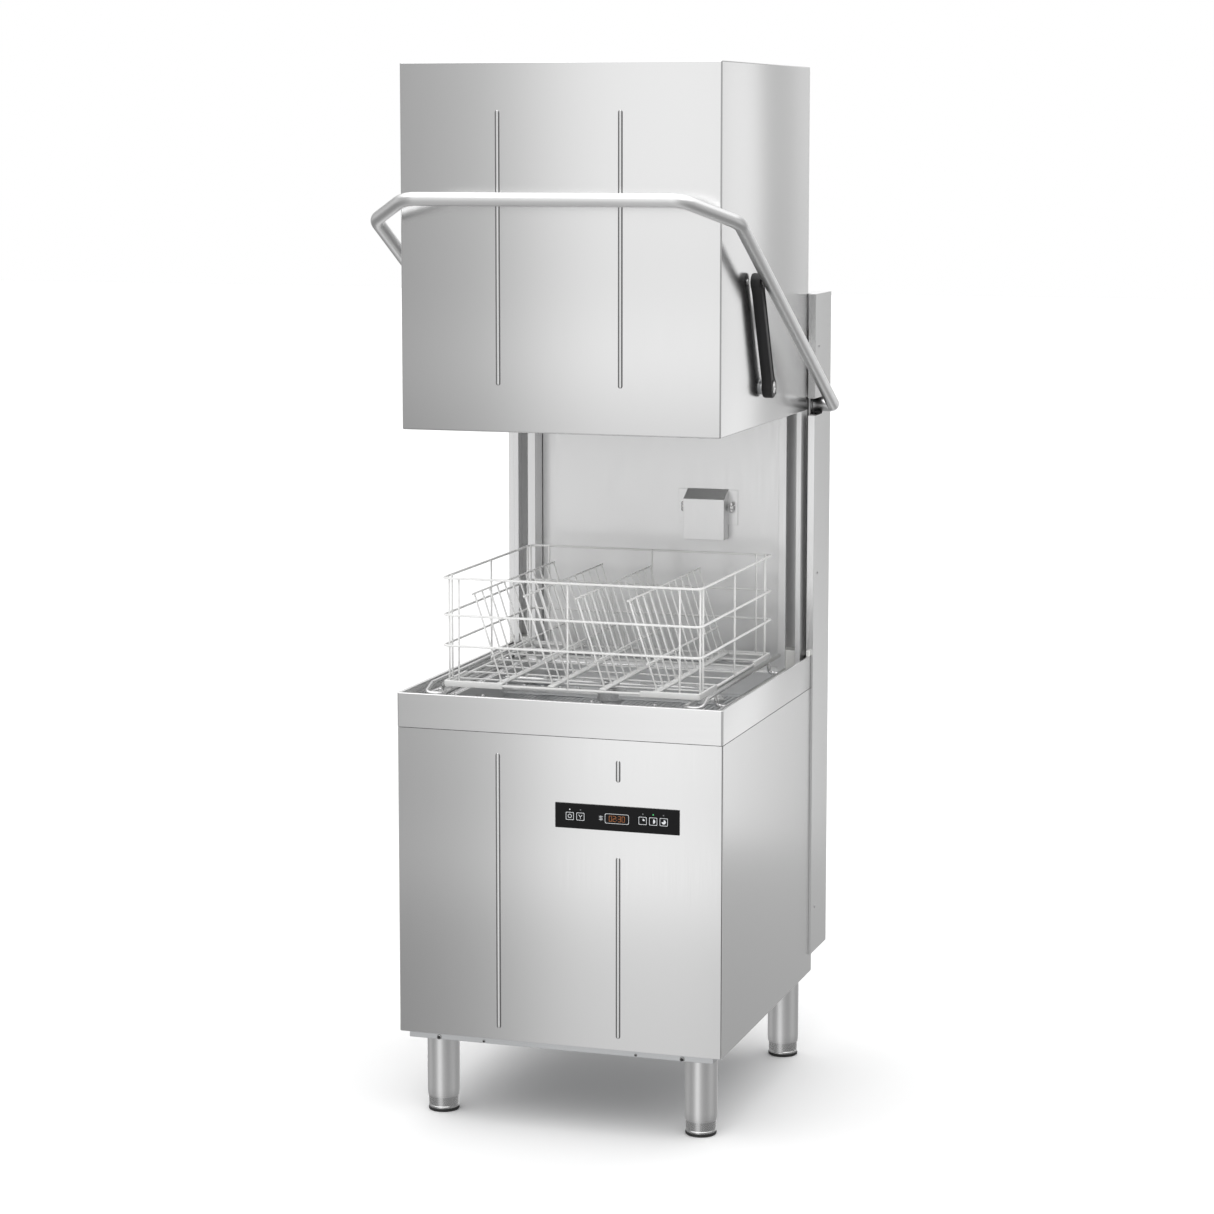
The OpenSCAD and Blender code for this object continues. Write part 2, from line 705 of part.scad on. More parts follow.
module handle() color(steel) place() {
  r = handle_d / 2;
  bar_half = 262;
  corner = 86;
  tube_end = 306.5;
  // the bail lies in one plane through the pivot, drawn flat and then tilted
  translate([0, pivot[0], pivot[1]]) rotate([-handle_angle, 0, 0]) {
    bent_pipe([[tube_end, 0, 0], [arm_x, 0, 0], [arm_x, corner - handle_len, 0],
               [bar_half, -handle_len, 0], [-bar_half, -handle_len, 0],
               [-arm_x, corner - handle_len, 0], [-arm_x, 0, 0], [-tube_end, 0, 0]], 20, r, 1.5);
  }
  both_sides() {
    rod_x([tube_end, tube_end + 6], pivot[0], pivot[1], r - 0.1);
    rod_x([277, tube_end + 1], pivot[0], pivot[1], shaft_r);
    rod_x([link_x[0] + 0.5, arm_x - 3], link_top[0], link_top[1], pin_r);
  }
}

// Levers inside the columns, from the pivot shaft to the spring hooks
module lever_arms() color(satin) place() both_sides() difference() {
  union() {
    rod_x([281, 285], pivot[0], pivot[1], 15);
    rod_x([281, 285], spring_at[1], spring_z[1], 10);
    d = [spring_at[1], spring_z[1]] - pivot;
    translate([281, pivot[0], pivot[1]]) rotate([atan2(d[1], d[0]), 0, 0])
      translate([0, 0, -8]) cube([4, norm(d), 16]);
  }
  rod_x([280, 286], pivot[0], pivot[1], shaft_r);
  rod_x([280, 286], spring_at[1], spring_z[1], 3.2);
}

// Moulded link with a round boss at each end; its lower bolt head shows outside
module link() color(dark) place() difference() {
  union() {
    rod_x(link_x, link_top[0], link_top[1], 17);
    rod_x(link_x, link_low[0], link_low[1], 20);
    d = link_low - link_top;
    translate([link_x[0], link_top[0], link_top[1]]) rotate([atan2(d[1], d[0]), 0, 0])
      translate([1, 9, -13]) cube([link_x[1] - link_x[0] - 2, norm(d) - 18, 26]);
    rod_x([link_x[1] - 2, link_x[1] + 1.5], link_low[0], link_low[1], 9);
  }
  rod_x([link_x[0] - 1, link_x[1] + 1], link_top[0], link_top[1], pin_r + run_gap);
}
module link_right() link();
module link_left() mirror([1, 0, 0]) link();

frame();
leg_tubes();
base_tray();
side_panel_left();
side_panel_right();
rear_panel();
front_panel();
screws();
table();
wash_tank();
back_wall();
vent_deflector();
column_left();
column_right();
guide_left();
guide_right();
hood_stops();
pivot_bushes();
control_fascia();
control_board();
electrical_box();
boiler();
tank_element();
wash_pump_housing();
wash_pump_motor();
drain_pump();
dosing_pumps();
inlet_valve();
drain_spigot();
cable_gland();
hoses();
manifold();
rack_guide();
tank_filter();
sump_filter();
hood_shell();
hood_frame();
hood_shoes();
handle();
lever_arms();
link_left();
link_right();
springs();
lower_wash_arm();
lower_rinse_arm();
upper_wash_arm();
upper_rinse_arm();
impeller();
rack_frame();
rack_dividers();
standpipe();
foot_front_left();
foot_front_right();
foot_rear_left();
foot_rear_right();
key_power();
key_drain();
key_short();
key_medium();
key_long();
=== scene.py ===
import json
import math

import bmesh
import bpy
from mathutils import Matrix, Vector


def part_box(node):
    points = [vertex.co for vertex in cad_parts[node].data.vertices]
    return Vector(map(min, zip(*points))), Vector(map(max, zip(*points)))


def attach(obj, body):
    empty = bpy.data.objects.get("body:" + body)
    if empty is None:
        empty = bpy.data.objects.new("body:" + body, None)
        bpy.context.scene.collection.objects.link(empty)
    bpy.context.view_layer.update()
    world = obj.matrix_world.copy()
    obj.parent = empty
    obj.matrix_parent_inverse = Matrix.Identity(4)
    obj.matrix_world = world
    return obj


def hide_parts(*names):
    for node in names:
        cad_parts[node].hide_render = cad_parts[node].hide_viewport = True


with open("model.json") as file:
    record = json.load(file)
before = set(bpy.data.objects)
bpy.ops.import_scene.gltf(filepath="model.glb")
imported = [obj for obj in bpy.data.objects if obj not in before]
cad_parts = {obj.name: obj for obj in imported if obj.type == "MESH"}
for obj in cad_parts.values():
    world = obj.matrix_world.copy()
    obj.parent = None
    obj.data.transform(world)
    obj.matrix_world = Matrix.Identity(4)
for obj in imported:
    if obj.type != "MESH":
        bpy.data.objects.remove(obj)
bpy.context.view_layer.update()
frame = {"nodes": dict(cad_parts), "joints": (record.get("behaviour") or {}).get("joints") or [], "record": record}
nodes = frame["nodes"]
joints = {j["name"]: j for j in frame["joints"]}
slots = {p["node"]: p["material_slot"] for p in frame["record"]["subparts"]}

# ---- measures, in metres ----

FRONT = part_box("table")[0].y
TABLE_LOW, TABLE_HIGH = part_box("table")
PANEL_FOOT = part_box("side_panel_right")[0].z
PIVOT = Vector(joints["handle_swing"]["pos_m"])
LINK_TOP = Vector(joints["link_right_swing"]["pos_m"])
MIDDLE_Y = joints["lower_wash_arm_spin"]["pos_m"][1]


def at(x, depth, z):
    """A point given by its depth behind the table's front edge."""
    return Vector((x, FRONT + depth, z))


# ---- mesh tools ----


def make_piece(name, bm, body, materials, slot, *replaced, crease=32):
    """Turns a bmesh into a shaded piece that rides on a body and stands for the CAD nodes named last."""
    bmesh.ops.remove_doubles(bm, verts=bm.verts, dist=1e-6)
    bmesh.ops.recalc_face_normals(bm, faces=bm.faces)
    mesh = bpy.data.meshes.new(name)
    bm.to_mesh(mesh)
    bm.free()
    obj = bpy.data.objects.new(name, mesh)
    bpy.context.scene.collection.objects.link(obj)
    for material in materials if isinstance(materials, (list, tuple)) else [materials]:
        mesh.materials.append(material)
    mesh.shade_smooth()
    mesh.set_sharp_from_angle(angle=math.radians(crease))
    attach(obj, body)
    if replaced:
        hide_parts(*replaced)
    return obj


def add_mesh(bm, part, material=0):
    """Copies the bmesh part into bm, with one material index unless it is None."""
    bmesh.ops.recalc_face_normals(part, faces=part.faces)
    for face in part.faces:
        if material is not None:
            face.material_index = material
    mesh = bpy.data.meshes.new("part")
    part.to_mesh(mesh)
    part.free()
    bm.from_mesh(mesh)
    bpy.data.meshes.remove(mesh)


def join_rings(part, rings):
    """Faces between neighbouring rings, which have the same number of corners."""
    for low, high in zip(rings, rings[1:]):
        for k in range(len(low)):
            n = (k + 1) % len(low)
            part.faces.new((low[k], low[n], high[n], high[k]))


def slab(bm, low, high, edge=0.001, segments=3, material=0):
    """A box with rounded edges."""
    part = bmesh.new()
    bmesh.ops.create_cube(part, size=1)
    size = Vector(high) - Vector(low)
    centre = (Vector(high) + Vector(low)) / 2
    for v in part.verts:
        v.co = Vector(a * b for a, b in zip(v.co, size)) + centre
    if edge:
        edge = min(edge, min(size) * 0.49)
        bmesh.ops.bevel(part, geom=part.edges[:], offset=edge, segments=segments, profile=0.5,
                        affect="EDGES")
    add_mesh(bm, part, material)


def rounded_path(points, bend, steps=8):
    """The points as one line, with its inner corners turned on one bend radius, or each on its own."""
    path = [points[0]]
    bends = bend if isinstance(bend, (list, tuple)) else [bend] * (len(points) - 2)
    for a, b, c, radius in zip(points, points[1:], points[2:], bends):
        into, out = (b - a).normalized(), (c - b).normalized()
        angle = into.angle(out)
        if angle < 1e-3:
            path.append(b)
            continue
        run = radius * math.tan(angle / 2)
        centre = b + (out - into).normalized() * (radius / math.cos(angle / 2))
        start = b - into * run
        axis = into.cross(out).normalized()
        for i in range(steps + 1):
            path.append(centre + Matrix.Rotation(angle * i / steps, 3, axis) @ (start - centre))
    path.append(points[-1])
    return path


def tube(bm, path, radius, sides=16, material=0, cap=0.35):
    """A round bar along a path, with softly rounded ends."""
    part = bmesh.new()
    directions = [(b - a).normalized() for a, b in zip(path, path[1:])]
    tangents = [directions[0]]
    tangents += [(a + b).normalized() for a, b in zip(directions, directions[1:])]
    tangents.append(directions[-1])
    side = tangents[0].orthogonal().normalized()
    rings = []

    def ring(centre, tangent, side, r):
        other = tangent.cross(side)
        turn = [2 * math.pi * k / sides for k in range(sides)]
        return [part.verts.new(centre + (side * math.cos(t) + other * math.sin(t)) * r) for t in turn]

    for i, (point, tangent) in enumerate(zip(path, tangents)):
        if i:
            side = side - tangent * side.dot(tangent)
            side.normalize()
        if i == 0:
            rings.append(ring(point, tangent, side, radius * (1 - cap)))
            point = point + tangent * radius * cap
        if i == len(path) - 1:
            rings.append(ring(point - tangent * radius * cap, tangent, side, radius))
            rings.append(ring(point, tangent, side, radius * (1 - cap)))
        else:
            rings.append(ring(point, tangent, side, radius))
    join_rings(part, rings)
    part.faces.new(rings[0][::-1])
    part.faces.new(rings[-1])
    add_mesh(bm, part, material)


def bar(bm, points, radius, bend=0.005, sides=12, material=0):
    tube(bm, rounded_path([Vector(p) for p in points], bend), radius, sides, material)


def lathe(bm, origin, axis, profile, sides=40, material=0):
    """A turned shape: the profile lists (radius, height along the axis) and is closed on the axis."""
    part = bmesh.new()
    axis = Vector(axis).normalized()
    side = axis.orthogonal().normalized()
    other = axis.cross(side)
    origin = Vector(origin)
    rings = []
    for radius, height in profile:
        centre = origin + axis * height
        if radius < 1e-6:
            rings.append([part.verts.new(centre)])
            continue
        turns = [2 * math.pi * k / sides for k in range(sides)]
        rings.append([part.verts.new(centre + (side * math.cos(t) + other * math.sin(t)) * radius)
                      for t in turns])
    for low, high in zip(rings, rings[1:]):
        for k in range(sides):
            n = (k + 1) % sides
            if len(low) == 1 and len(high) > 1:
                part.faces.new((low[0], high[n], high[k]))
            elif len(high) == 1 and len(low) > 1:
                part.faces.new((low[k], low[n], high[0]))
            elif len(low) > 1:
                part.faces.new((low[k], low[n], high[n], high[k]))
    add_mesh(bm, part, material)


def rectangle_ring(part, half_x, y0, y1, corner, z, steps=5):
    """One level ring round a rectangle with rounded corners."""
    verts = []
    for cx, cy, start in ((half_x - corner, y1 - corner, 0), (-half_x + corner, y1 - corner, 90),
                          (-half_x + corner, y0 + corner, 180), (half_x - corner, y0 + corner, 270)):
        for i in range(steps + 1):
            t = math.radians(start + 90 * i / steps)
            verts.append(part.verts.new((cx + corner * math.cos(t), cy + corner * math.sin(t), z)))
    return verts


def loft_rings(bm, rings, material=0, close=False):
    """Joins level rings (half_x, y0, y1, corner, z) in turn."""
    part = bmesh.new()
    made = [rectangle_ring(part, *r) for r in rings]
    join_rings(part, made + made[:1] if close else made)
    add_mesh(bm, part, material)


def rib(bm, x, z0, z1, y, width, proud):
    """A pressed bead with round ends on a front sheet at y: material 0 on its crown, 1 on its flanks, a dark steel
    that paints shade on their slopes.
    """
    part = bmesh.new()
    section = ((0, 0), (0.02, 0.10), (0.28, 0.90), (0.32, 0.99), (0.36, 1.0))
    section += tuple((1 - t, h) for t, h in reversed(section))
    across, cap = len(section) - 1, 6
    stations = []
    for i in range(cap + 1):
        stations.append((1 - math.cos(math.pi / 2 * i / cap), math.sin(math.pi / 2 * i / cap)))
    ends = [(z0 + width / 2 * t, s) for t, s in stations]
    ends += [(z1 - width / 2 * t, s) for t, s in reversed(stations)]
    rows = []
    for z, s in ends:
        s = max(s, 0.02)
        row = []
        for t, h in section:
            row.append(part.verts.new((x + width * s * (t - 0.5), y - proud * s * h, z)))
        rows.append(row)
    for low, high in zip(rows, rows[1:]):
        for k in range(across):
            face = part.faces.new((low[k], low[k + 1], high[k + 1], high[k]))
            face.material_index = 0 if 2 <= k <= across - 3 else 1
        part.faces.new((low[across], low[0], high[0], high[across]))
    part.faces.new(rows[0])
    part.faces.new(rows[-1][::-1])
    add_mesh(bm, part, None)


def cut_box(obj, low, high):
    """Cuts a plain box out of a piece."""
    bm = bmesh.new()
    slab(bm, low, high, edge=0)
    mesh = bpy.data.meshes.new("cutter")
    bm.to_mesh(mesh)
    bm.free()
    cutter = bpy.data.objects.new("cutter", mesh)
    bpy.context.scene.collection.objects.link(cutter)
    modifier = obj.modifiers.new("cut", "BOOLEAN")
    modifier.object = cutter
    modifier.solver = "EXACT"
    bpy.context.view_layer.update()
    result = bpy.data.meshes.new_from_object(obj.evaluated_get(bpy.context.evaluated_depsgraph_get()))
    obj.modifiers.clear()
    old = obj.data
    obj.data = result
    result.name = obj.name
    bpy.data.meshes.remove(old)
    bpy.data.objects.remove(cutter)
    bpy.data.meshes.remove(mesh)


# ---- materials ----


class Nodes:
    """A material's nodes, made one after another."""

    def __init__(self, name):
        self.material = bpy.data.materials.new(name)
        self.material.use_nodes = True
        self.tree = self.material.node_tree
        self.shader = self.tree.nodes["Principled BSDF"]

    def add(self, kind, **values):
        node = self.tree.nodes.new(kind)
        for key, value in values.items():
            if key in node.inputs:
                node.inputs[key].default_value = value
            else:
                setattr(node, key, value)
        return node

    def join(self, source, target):
        self.tree.links.new(source, target)

    def grain(self, scale, detail=3.0):
        """Noise in the object's own metres, stretched by the scale along each axis."""
        place = self.add("ShaderNodeTexCoord")
        stretch = self.add("ShaderNodeMapping")
        stretch.inputs["Scale"].default_value = scale
        noise = self.add("ShaderNodeTexNoise", Scale=1.0, Detail=detail, Roughness=0.6)
        self.join(place.outputs["Object"], stretch.inputs["Vector"])
        self.join(stretch.outputs["Vector"], noise.inputs["Vector"])
        return noise.outputs["Fac"]

    def spread(self, value, low, high):
        """Maps noise, which lies mostly from 0.3 to 0.7, onto low to high."""
        ranged = self.add("ShaderNodeMapRange")
        self.join(value, ranged.inputs["Value"])
        for socket, number in (("From Min", 0.3), ("From Max", 0.7), ("To Min", low), ("To Max", high)):
            ranged.inputs[socket].default_value = number
        return ranged.outputs["Result"]

    def tint(self, value, dark, light):
        mix = self.add("ShaderNodeMix", data_type="RGBA")
        self.join(value, mix.inputs["Factor"])
        mix.inputs[6].default_value = (*dark, 1)
        mix.inputs[7].default_value = (*light, 1)
        self.join(mix.outputs[2], self.shader.inputs["Base Color"])

    def bump(self, value, depth, strength=1.0):
        bump = self.add("ShaderNodeBump", Strength=strength, Distance=depth)
        self.join(value, bump.inputs["Height"])
        self.join(bump.outputs["Normal"], self.shader.inputs["Normal"])


def shade(colour, factor):
    return tuple(min(1.0, c * factor) for c in colour)


def brushed(name, colour, rough, grain, contrast=0.05, depth=0.00002, polish=(0.85, 1.2)):
    """Brushed sheet: fine streaks along the least stretched axis, with faint cloudy wear."""
    n = Nodes(name)
    n.shader.inputs["Metallic"].default_value = 1.0
    streaks = n.grain(grain)
    clouds = n.grain((5.0, 5.0, 1.6), detail=4.0)
    both = n.add("ShaderNodeMath", operation="ADD")
    n.join(n.spread(streaks, 0.0, 0.5), both.inputs[0])
    n.join(n.spread(clouds, 0.0, 0.5), both.inputs[1])
    n.tint(both.outputs[0], shade(colour, 1 - contrast), shade(colour, 1 + contrast))
    n.join(n.spread(streaks, rough * polish[0], rough * polish[1]), n.shader.inputs["Roughness"])
    n.bump(streaks, depth)
    return n.material


def moulded(name, colour, rough, grit=900.0, depth=0.00003, contrast=0.1, coat=0.0, shine=0.5):
    """Moulded or dipped plastic and rubber, with a fine grit."""
    n = Nodes(name)
    fine = n.grain((grit, grit, grit))
    clouds = n.grain((9.0, 9.0, 9.0))
    n.tint(n.spread(clouds, 0.0, 1.0), shade(colour, 1 - contrast), shade(colour, 1 + contrast))
    n.join(n.spread(fine, rough * 0.9, min(1.0, rough * 1.15)), n.shader.inputs["Roughness"])
    n.shader.inputs["Coat Weight"].default_value = coat
    n.shader.inputs["Specular IOR Level"].default_value = shine
    n.bump(fine, depth)
    return n.material


def glowing(name, colour, strength):
    n = Nodes(name)
    n.shader.inputs["Base Color"].default_value = (*shade(colour, 0.6), 1)
    n.shader.inputs["Emission Color"].default_value = (*colour, 1)
    n.shader.inputs["Emission Strength"].default_value = strength
    n.shader.inputs["Roughness"].default_value = 0.4
    return n.material


UPRIGHT = (1300.0, 1300.0, 9.0)
ALONG_X = (9.0, 1300.0, 1300.0)
FINE = (600.0, 600.0, 600.0)
LOOKS = {
    "hood_sheet": brushed("hood_sheet", (0.79, 0.79, 0.79), 0.20, UPRIGHT, 0.006, 0.0000004, (0.93, 1.12)),
    "panel_sheet": brushed("panel_sheet", (0.83, 0.83, 0.83), 0.23, UPRIGHT, 0.006, 0.0000004, (0.92, 1.14)),
    "table_sheet": brushed("table_sheet", (0.84, 0.84, 0.84), 0.24, ALONG_X, 0.007, 0.0000006, (0.92, 1.14)),
    "chamber_sheet": brushed("chamber_sheet", (0.90, 0.90, 0.90), 0.34, UPRIGHT, 0.010, 0.000002),
    "inner_steel": brushed("inner_steel", (0.66, 0.67, 0.68), 0.36, UPRIGHT, 0.08),
    "tube_steel": brushed("tube_steel", (0.90, 0.90, 0.90), 0.36, FINE, 0.04),
    "foot_steel": brushed("foot_steel", (0.74, 0.74, 0.74), 0.25, FINE, 0.05),
    "rod_steel": brushed("rod_steel", (0.60, 0.60, 0.60), 0.10, FINE, 0.04),
    "bolt_steel": brushed("bolt_steel", (0.70, 0.70, 0.70), 0.20, FINE, 0.08),
    "spring_steel": brushed("spring_steel", (0.50, 0.51, 0.53), 0.35, FINE, 0.1),
    "arm_steel": brushed("arm_steel", (0.80, 0.80, 0.80), 0.28, ALONG_X, 0.05),
    "black_plastic": moulded("black_plastic", (0.012, 0.012, 0.013), 0.42),
    "control_glass": moulded("control_glass", (0.004, 0.004, 0.0045), 0.30, depth=0.000002, shine=0.2),
    "white_plastic": moulded("white_plastic", (0.80, 0.80, 0.78), 0.45, contrast=0.04),
    "rack_coating": moulded("rack_coating", (0.86, 0.86, 0.85), 0.32, 300.0, 0.00006, 0.03, 0.3),
    "grey_plastic": moulded("grey_plastic", (0.32, 0.33, 0.35), 0.5),
    "motor_paint": moulded("motor_paint", (0.16, 0.18, 0.21), 0.45, 400.0),
    "board_green": moulded("board_green", (0.02, 0.13, 0.06), 0.3),
    "brass_fitting": brushed("brass_fitting", (0.72, 0.55, 0.28), 0.3, FINE, 0.1),
    "hose_rubber": moulded("hose_rubber", (0.02, 0.02, 0.02), 0.65, 500.0, 0.0001),
}
# painted shade: a dark steel for the slopes of the pressed beads, much darker than the sheet they are pressed in
PAINTED_SHADE_BEAD_FLANK = brushed("bead_flank_painted_shade", (0.30, 0.30, 0.30), 0.30, UPRIGHT, 0.02, 0.000001)
TANK_STEEL = brushed("tank_steel", (0.92, 0.92, 0.92), 0.40, UPRIGHT, 0.02, 0.000001)
# white glow: on the key and display print it is painted light, as print is no lamp; on the power lamp it is the
# lamp's own light
ICON_WHITE = glowing("icon_white", (0.80, 0.82, 0.84), 0.35)
ICON_DIM = glowing("icon_dim", (0.25, 0.26, 0.27), 0.1)
DIGIT_ORANGE = glowing("digit_orange", (0.60, 0.22, 0.07), 0.42)
LAMP_GREEN = glowing("lamp_green", (0.08, 0.55, 0.18), 0.7)

SOFT_EDGES = {
    "side_panel_left": 0.0006, "side_panel_right": 0.0006, "column_left": 0.0006, "column_right": 0.0006,
    "guide_left": 0.0005, "guide_right": 0.0005, "back_wall": 0.0004, "vent_deflector": 0.0005,
    "rear_panel": 0.0004, "frame": 0.001, "control_fascia": 0.0005, "hood_stops": 0.0012,
    "hood_shoes": 0.0015, "hood_frame": 0.0005, "electrical_box": 0.001, "base_tray": 0.0004,
}
for name, obj in nodes.items():
    obj.data.materials.clear()
    obj.data.materials.append(TANK_STEEL if name == "wash_tank" else LOOKS[slots[name]])
    if name in SOFT_EDGES or name.startswith("key_"):
        obj.modifiers.new("weld", "WELD").merge_threshold = 1e-5
        soft = obj.modifiers.new("soft edges", "BEVEL")
        soft.width = SOFT_EDGES.get(name, 0.0004)
        soft.segments = 2
        soft.limit_method = "ANGLE"
        soft.angle_limit = math.radians(40)
        soft.harden_normals = True

# ---- hood ----

HOOD_X, HOOD_TOP, HOOD_FOOT = 0.307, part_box("hood_shell")[1].z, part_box("hood_shell")[0].z
HOOD_FRONT, HOOD_BACK = FRONT + 0.013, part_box("hood_shell")[1].y
SHEET, PAST = 0.002, 0.01                 # PAST is how far a cutter reaches beyond what it cuts
SIDE_HEM, FRONT_HEM, HEM_END = 0.013, 0.007, FRONT + 0.605
BAND_DEEP, BAND_HALF = 0.038, 0.250       # the band that joins the sides at the top of the open back
bm = bmesh.new()
slab(bm, (-HOOD_X, HOOD_FRONT, HOOD_FOOT), (HOOD_X, HOOD_BACK, HOOD_TOP), edge=0.0028, segments=4)
hood = make_piece("hood_skin", bm, "hood", LOOKS["hood_sheet"], "hood_sheet", "hood_shell")
inner_x = HOOD_X - SHEET
cut_box(hood, (-inner_x, HOOD_FRONT + SHEET, HOOD_FOOT + SHEET),
        (inner_x, HOOD_BACK - SHEET, HOOD_TOP - SHEET))
cut_box(hood, (-HOOD_X + SIDE_HEM, HOOD_FRONT + FRONT_HEM, HOOD_FOOT - PAST),
        (HOOD_X - SIDE_HEM, HOOD_BACK + PAST, HOOD_FOOT + PAST))
cut_box(hood, (-inner_x, HOOD_BACK - PAST, HOOD_FOOT - PAST),
        (inner_x, HOOD_BACK + PAST, HOOD_TOP - BAND_DEEP))
# the hem and the band end short of the guides, which stand inside the closed hood
cut_box(hood, (-inner_x, HEM_END, HOOD_FOOT - PAST), (inner_x, HOOD_BACK + PAST, HOOD_FOOT + PAST))
for x0, x1 in ((-inner_x, -BAND_HALF), (BAND_HALF, inner_x)):
    cut_box(hood, (x0, HOOD_BACK - PAST, HOOD_TOP - BAND_DEEP - 0.007),
            (x1, HOOD_BACK + PAST, HOOD_TOP - SHEET))
hood.data.set_sharp_from_angle(angle=math.radians(32))

BEAD_X, BEAD_W, PROUD = 0.1175, 0.009, 0.0012
HOOD_BEAD = (HOOD_FOOT + 0.086, HOOD_FOOT + 0.587)
bm = bmesh.new()
for x in (-BEAD_X, BEAD_X):
    rib(bm, x, *HOOD_BEAD, HOOD_FRONT, BEAD_W, PROUD)
make_piece("hood_beads", bm, "hood", [LOOKS["hood_sheet"], PAINTED_SHADE_BEAD_FLANK], "hood_sheet", crease=25)

# ---- cabinet ----

THIN = 0.0015                             # sheet of the cabinet
PANEL_Y = FRONT + THIN
PANEL_BEADS = ((-BEAD_X, 0.190, 0.716), (BEAD_X, 0.675, 0.716), (BEAD_X, 0.190, 0.534))
bm = bmesh.new()
low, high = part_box("front_panel")
slab(bm, (low.x, PANEL_Y, low.z), (high.x, PANEL_Y + THIN, high.z), edge=0.0007)
for side in (-1, 1):
    flange = sorted((side * high.x, side * (high.x - THIN)))
    slab(bm, (flange[0], PANEL_Y + 0.001, low.z), (flange[1], high.y, high.z), edge=0.0005)
for x, z0, z1 in PANEL_BEADS:
    rib(bm, x, z0, z1, PANEL_Y, BEAD_W, PROUD)
make_piece("front_door_sheet", bm, "chassis", [LOOKS["panel_sheet"], PAINTED_SHADE_BEAD_FLANK], "panel_sheet",
           "front_panel")

# the table: band, rolled rim, inner wall and the ledge round the tank's mouth
half_x, y0, y1, top = TABLE_HIGH.x, TABLE_LOW.y, TABLE_HIGH.y, TABLE_HIGH.z
LIP, LEDGE, CORNER, ROLL, FILLET = 0.007, TABLE_HIGH.z - 0.030, 0.004, 0.0016, 0.004
MOUTH_X, MOUTH_FRONT, MOUTH_BACK, MOUTH_CORNER = 0.266, FRONT + 0.057, FRONT + 0.599, 0.012


def table_ring(inset, z):
    return (half_x - inset, y0 + inset, y1 - min(inset, 0.003), max(CORNER - inset, 0.001), z)


rings = [table_ring(THIN, TABLE_LOW.z), table_ring(0.0004, TABLE_LOW.z),
         table_ring(0, TABLE_LOW.z + 0.0004)]
for i in range(5):
    t = math.pi / 2 * i / 4
    rings.append(table_ring(ROLL * (1 - math.cos(t)), top - ROLL * (1 - math.sin(t))))
for i in range(5):
    t = math.pi / 2 * i / 4
    rings.append(table_ring(LIP - ROLL * (1 - math.sin(t)), top - ROLL * (1 - math.cos(t))))
for i in range(5):
    t = math.pi / 2 * i / 4
    rings.append(table_ring(LIP + FILLET * (1 - math.cos(t)), LEDGE + THIN + FILLET * (1 - math.sin(t))))
for grow, z in ((0.002, LEDGE + THIN), (0.0005, LEDGE + 0.0011), (0, LEDGE), (THIN, LEDGE)):
    rings.append((MOUTH_X + grow, MOUTH_FRONT - grow, MOUTH_BACK + grow, MOUTH_CORNER, z))
rings.append(table_ring(LIP - THIN, LEDGE))
rings.append(table_ring(LIP - THIN, top - ROLL))
rings.append(table_ring(THIN, top - ROLL))
bm = bmesh.new()
loft_rings(bm, rings, close=True)
make_piece("table_top", bm, "chassis", LOOKS["table_sheet"], "table_sheet", "table", crease=40)

# ---- handle and links ----

low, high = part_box("handle")
TUBE_R = 0.0125
ARM_X = high.x - TUBE_R
ALONG = (LINK_TOP - PIVOT).normalized()
ALONG.x = 0
ALONG.normalize()
BAIL = (PIVOT.y - low.y - TUBE_R) / -ALONG.y
BAR_HALF, CORNER_BACK = 0.262, 0.086
STUB_X = 0.3065                           # where the tube ends, just inside the column
HANDLE_BENDS = (0.009, 0.040, 0.052, 0.052, 0.040, 0.009)


def bail(x, reach):
    return Vector((x, PIVOT.y, PIVOT.z)) + ALONG * reach


bm = bmesh.new()
path = [bail(STUB_X, 0), bail(ARM_X, 0), bail(ARM_X, BAIL - CORNER_BACK), bail(BAR_HALF, BAIL)]
path += [Vector((-p.x, p.y, p.z)) for p in reversed(path)]
tube(bm, rounded_path(path, HANDLE_BENDS, steps=14), TUBE_R, sides=40, cap=0.08)
for side in (-1, 1):
    lathe(bm, (side * 0.277, PIVOT.y, PIVOT.z), (side, 0, 0),
          [(0, 0), (0.0072, 0), (0.008, 0.0008), (0.008, 0.030), (0, 0.030)])
    lathe(bm, (side * 0.310, LINK_TOP.y, LINK_TOP.z), (side, 0, 0),
          [(0, 0), (0.0044, 0), (0.005, 0.0006), (0.005, 0.034), (0, 0.034)])
make_piece("bail_handle", bm, "handle", LOOKS["tube_steel"], "tube_steel", "handle", crease=50)

LINK_LOW = LINK_TOP + Vector((0, 0.087, -0.2005))
LINK_X = (0.3125, 0.3325)
TOP_BOSS, LOW_BOSS, WAIST, BLEND = 0.017, 0.020, 0.0128, 0.011


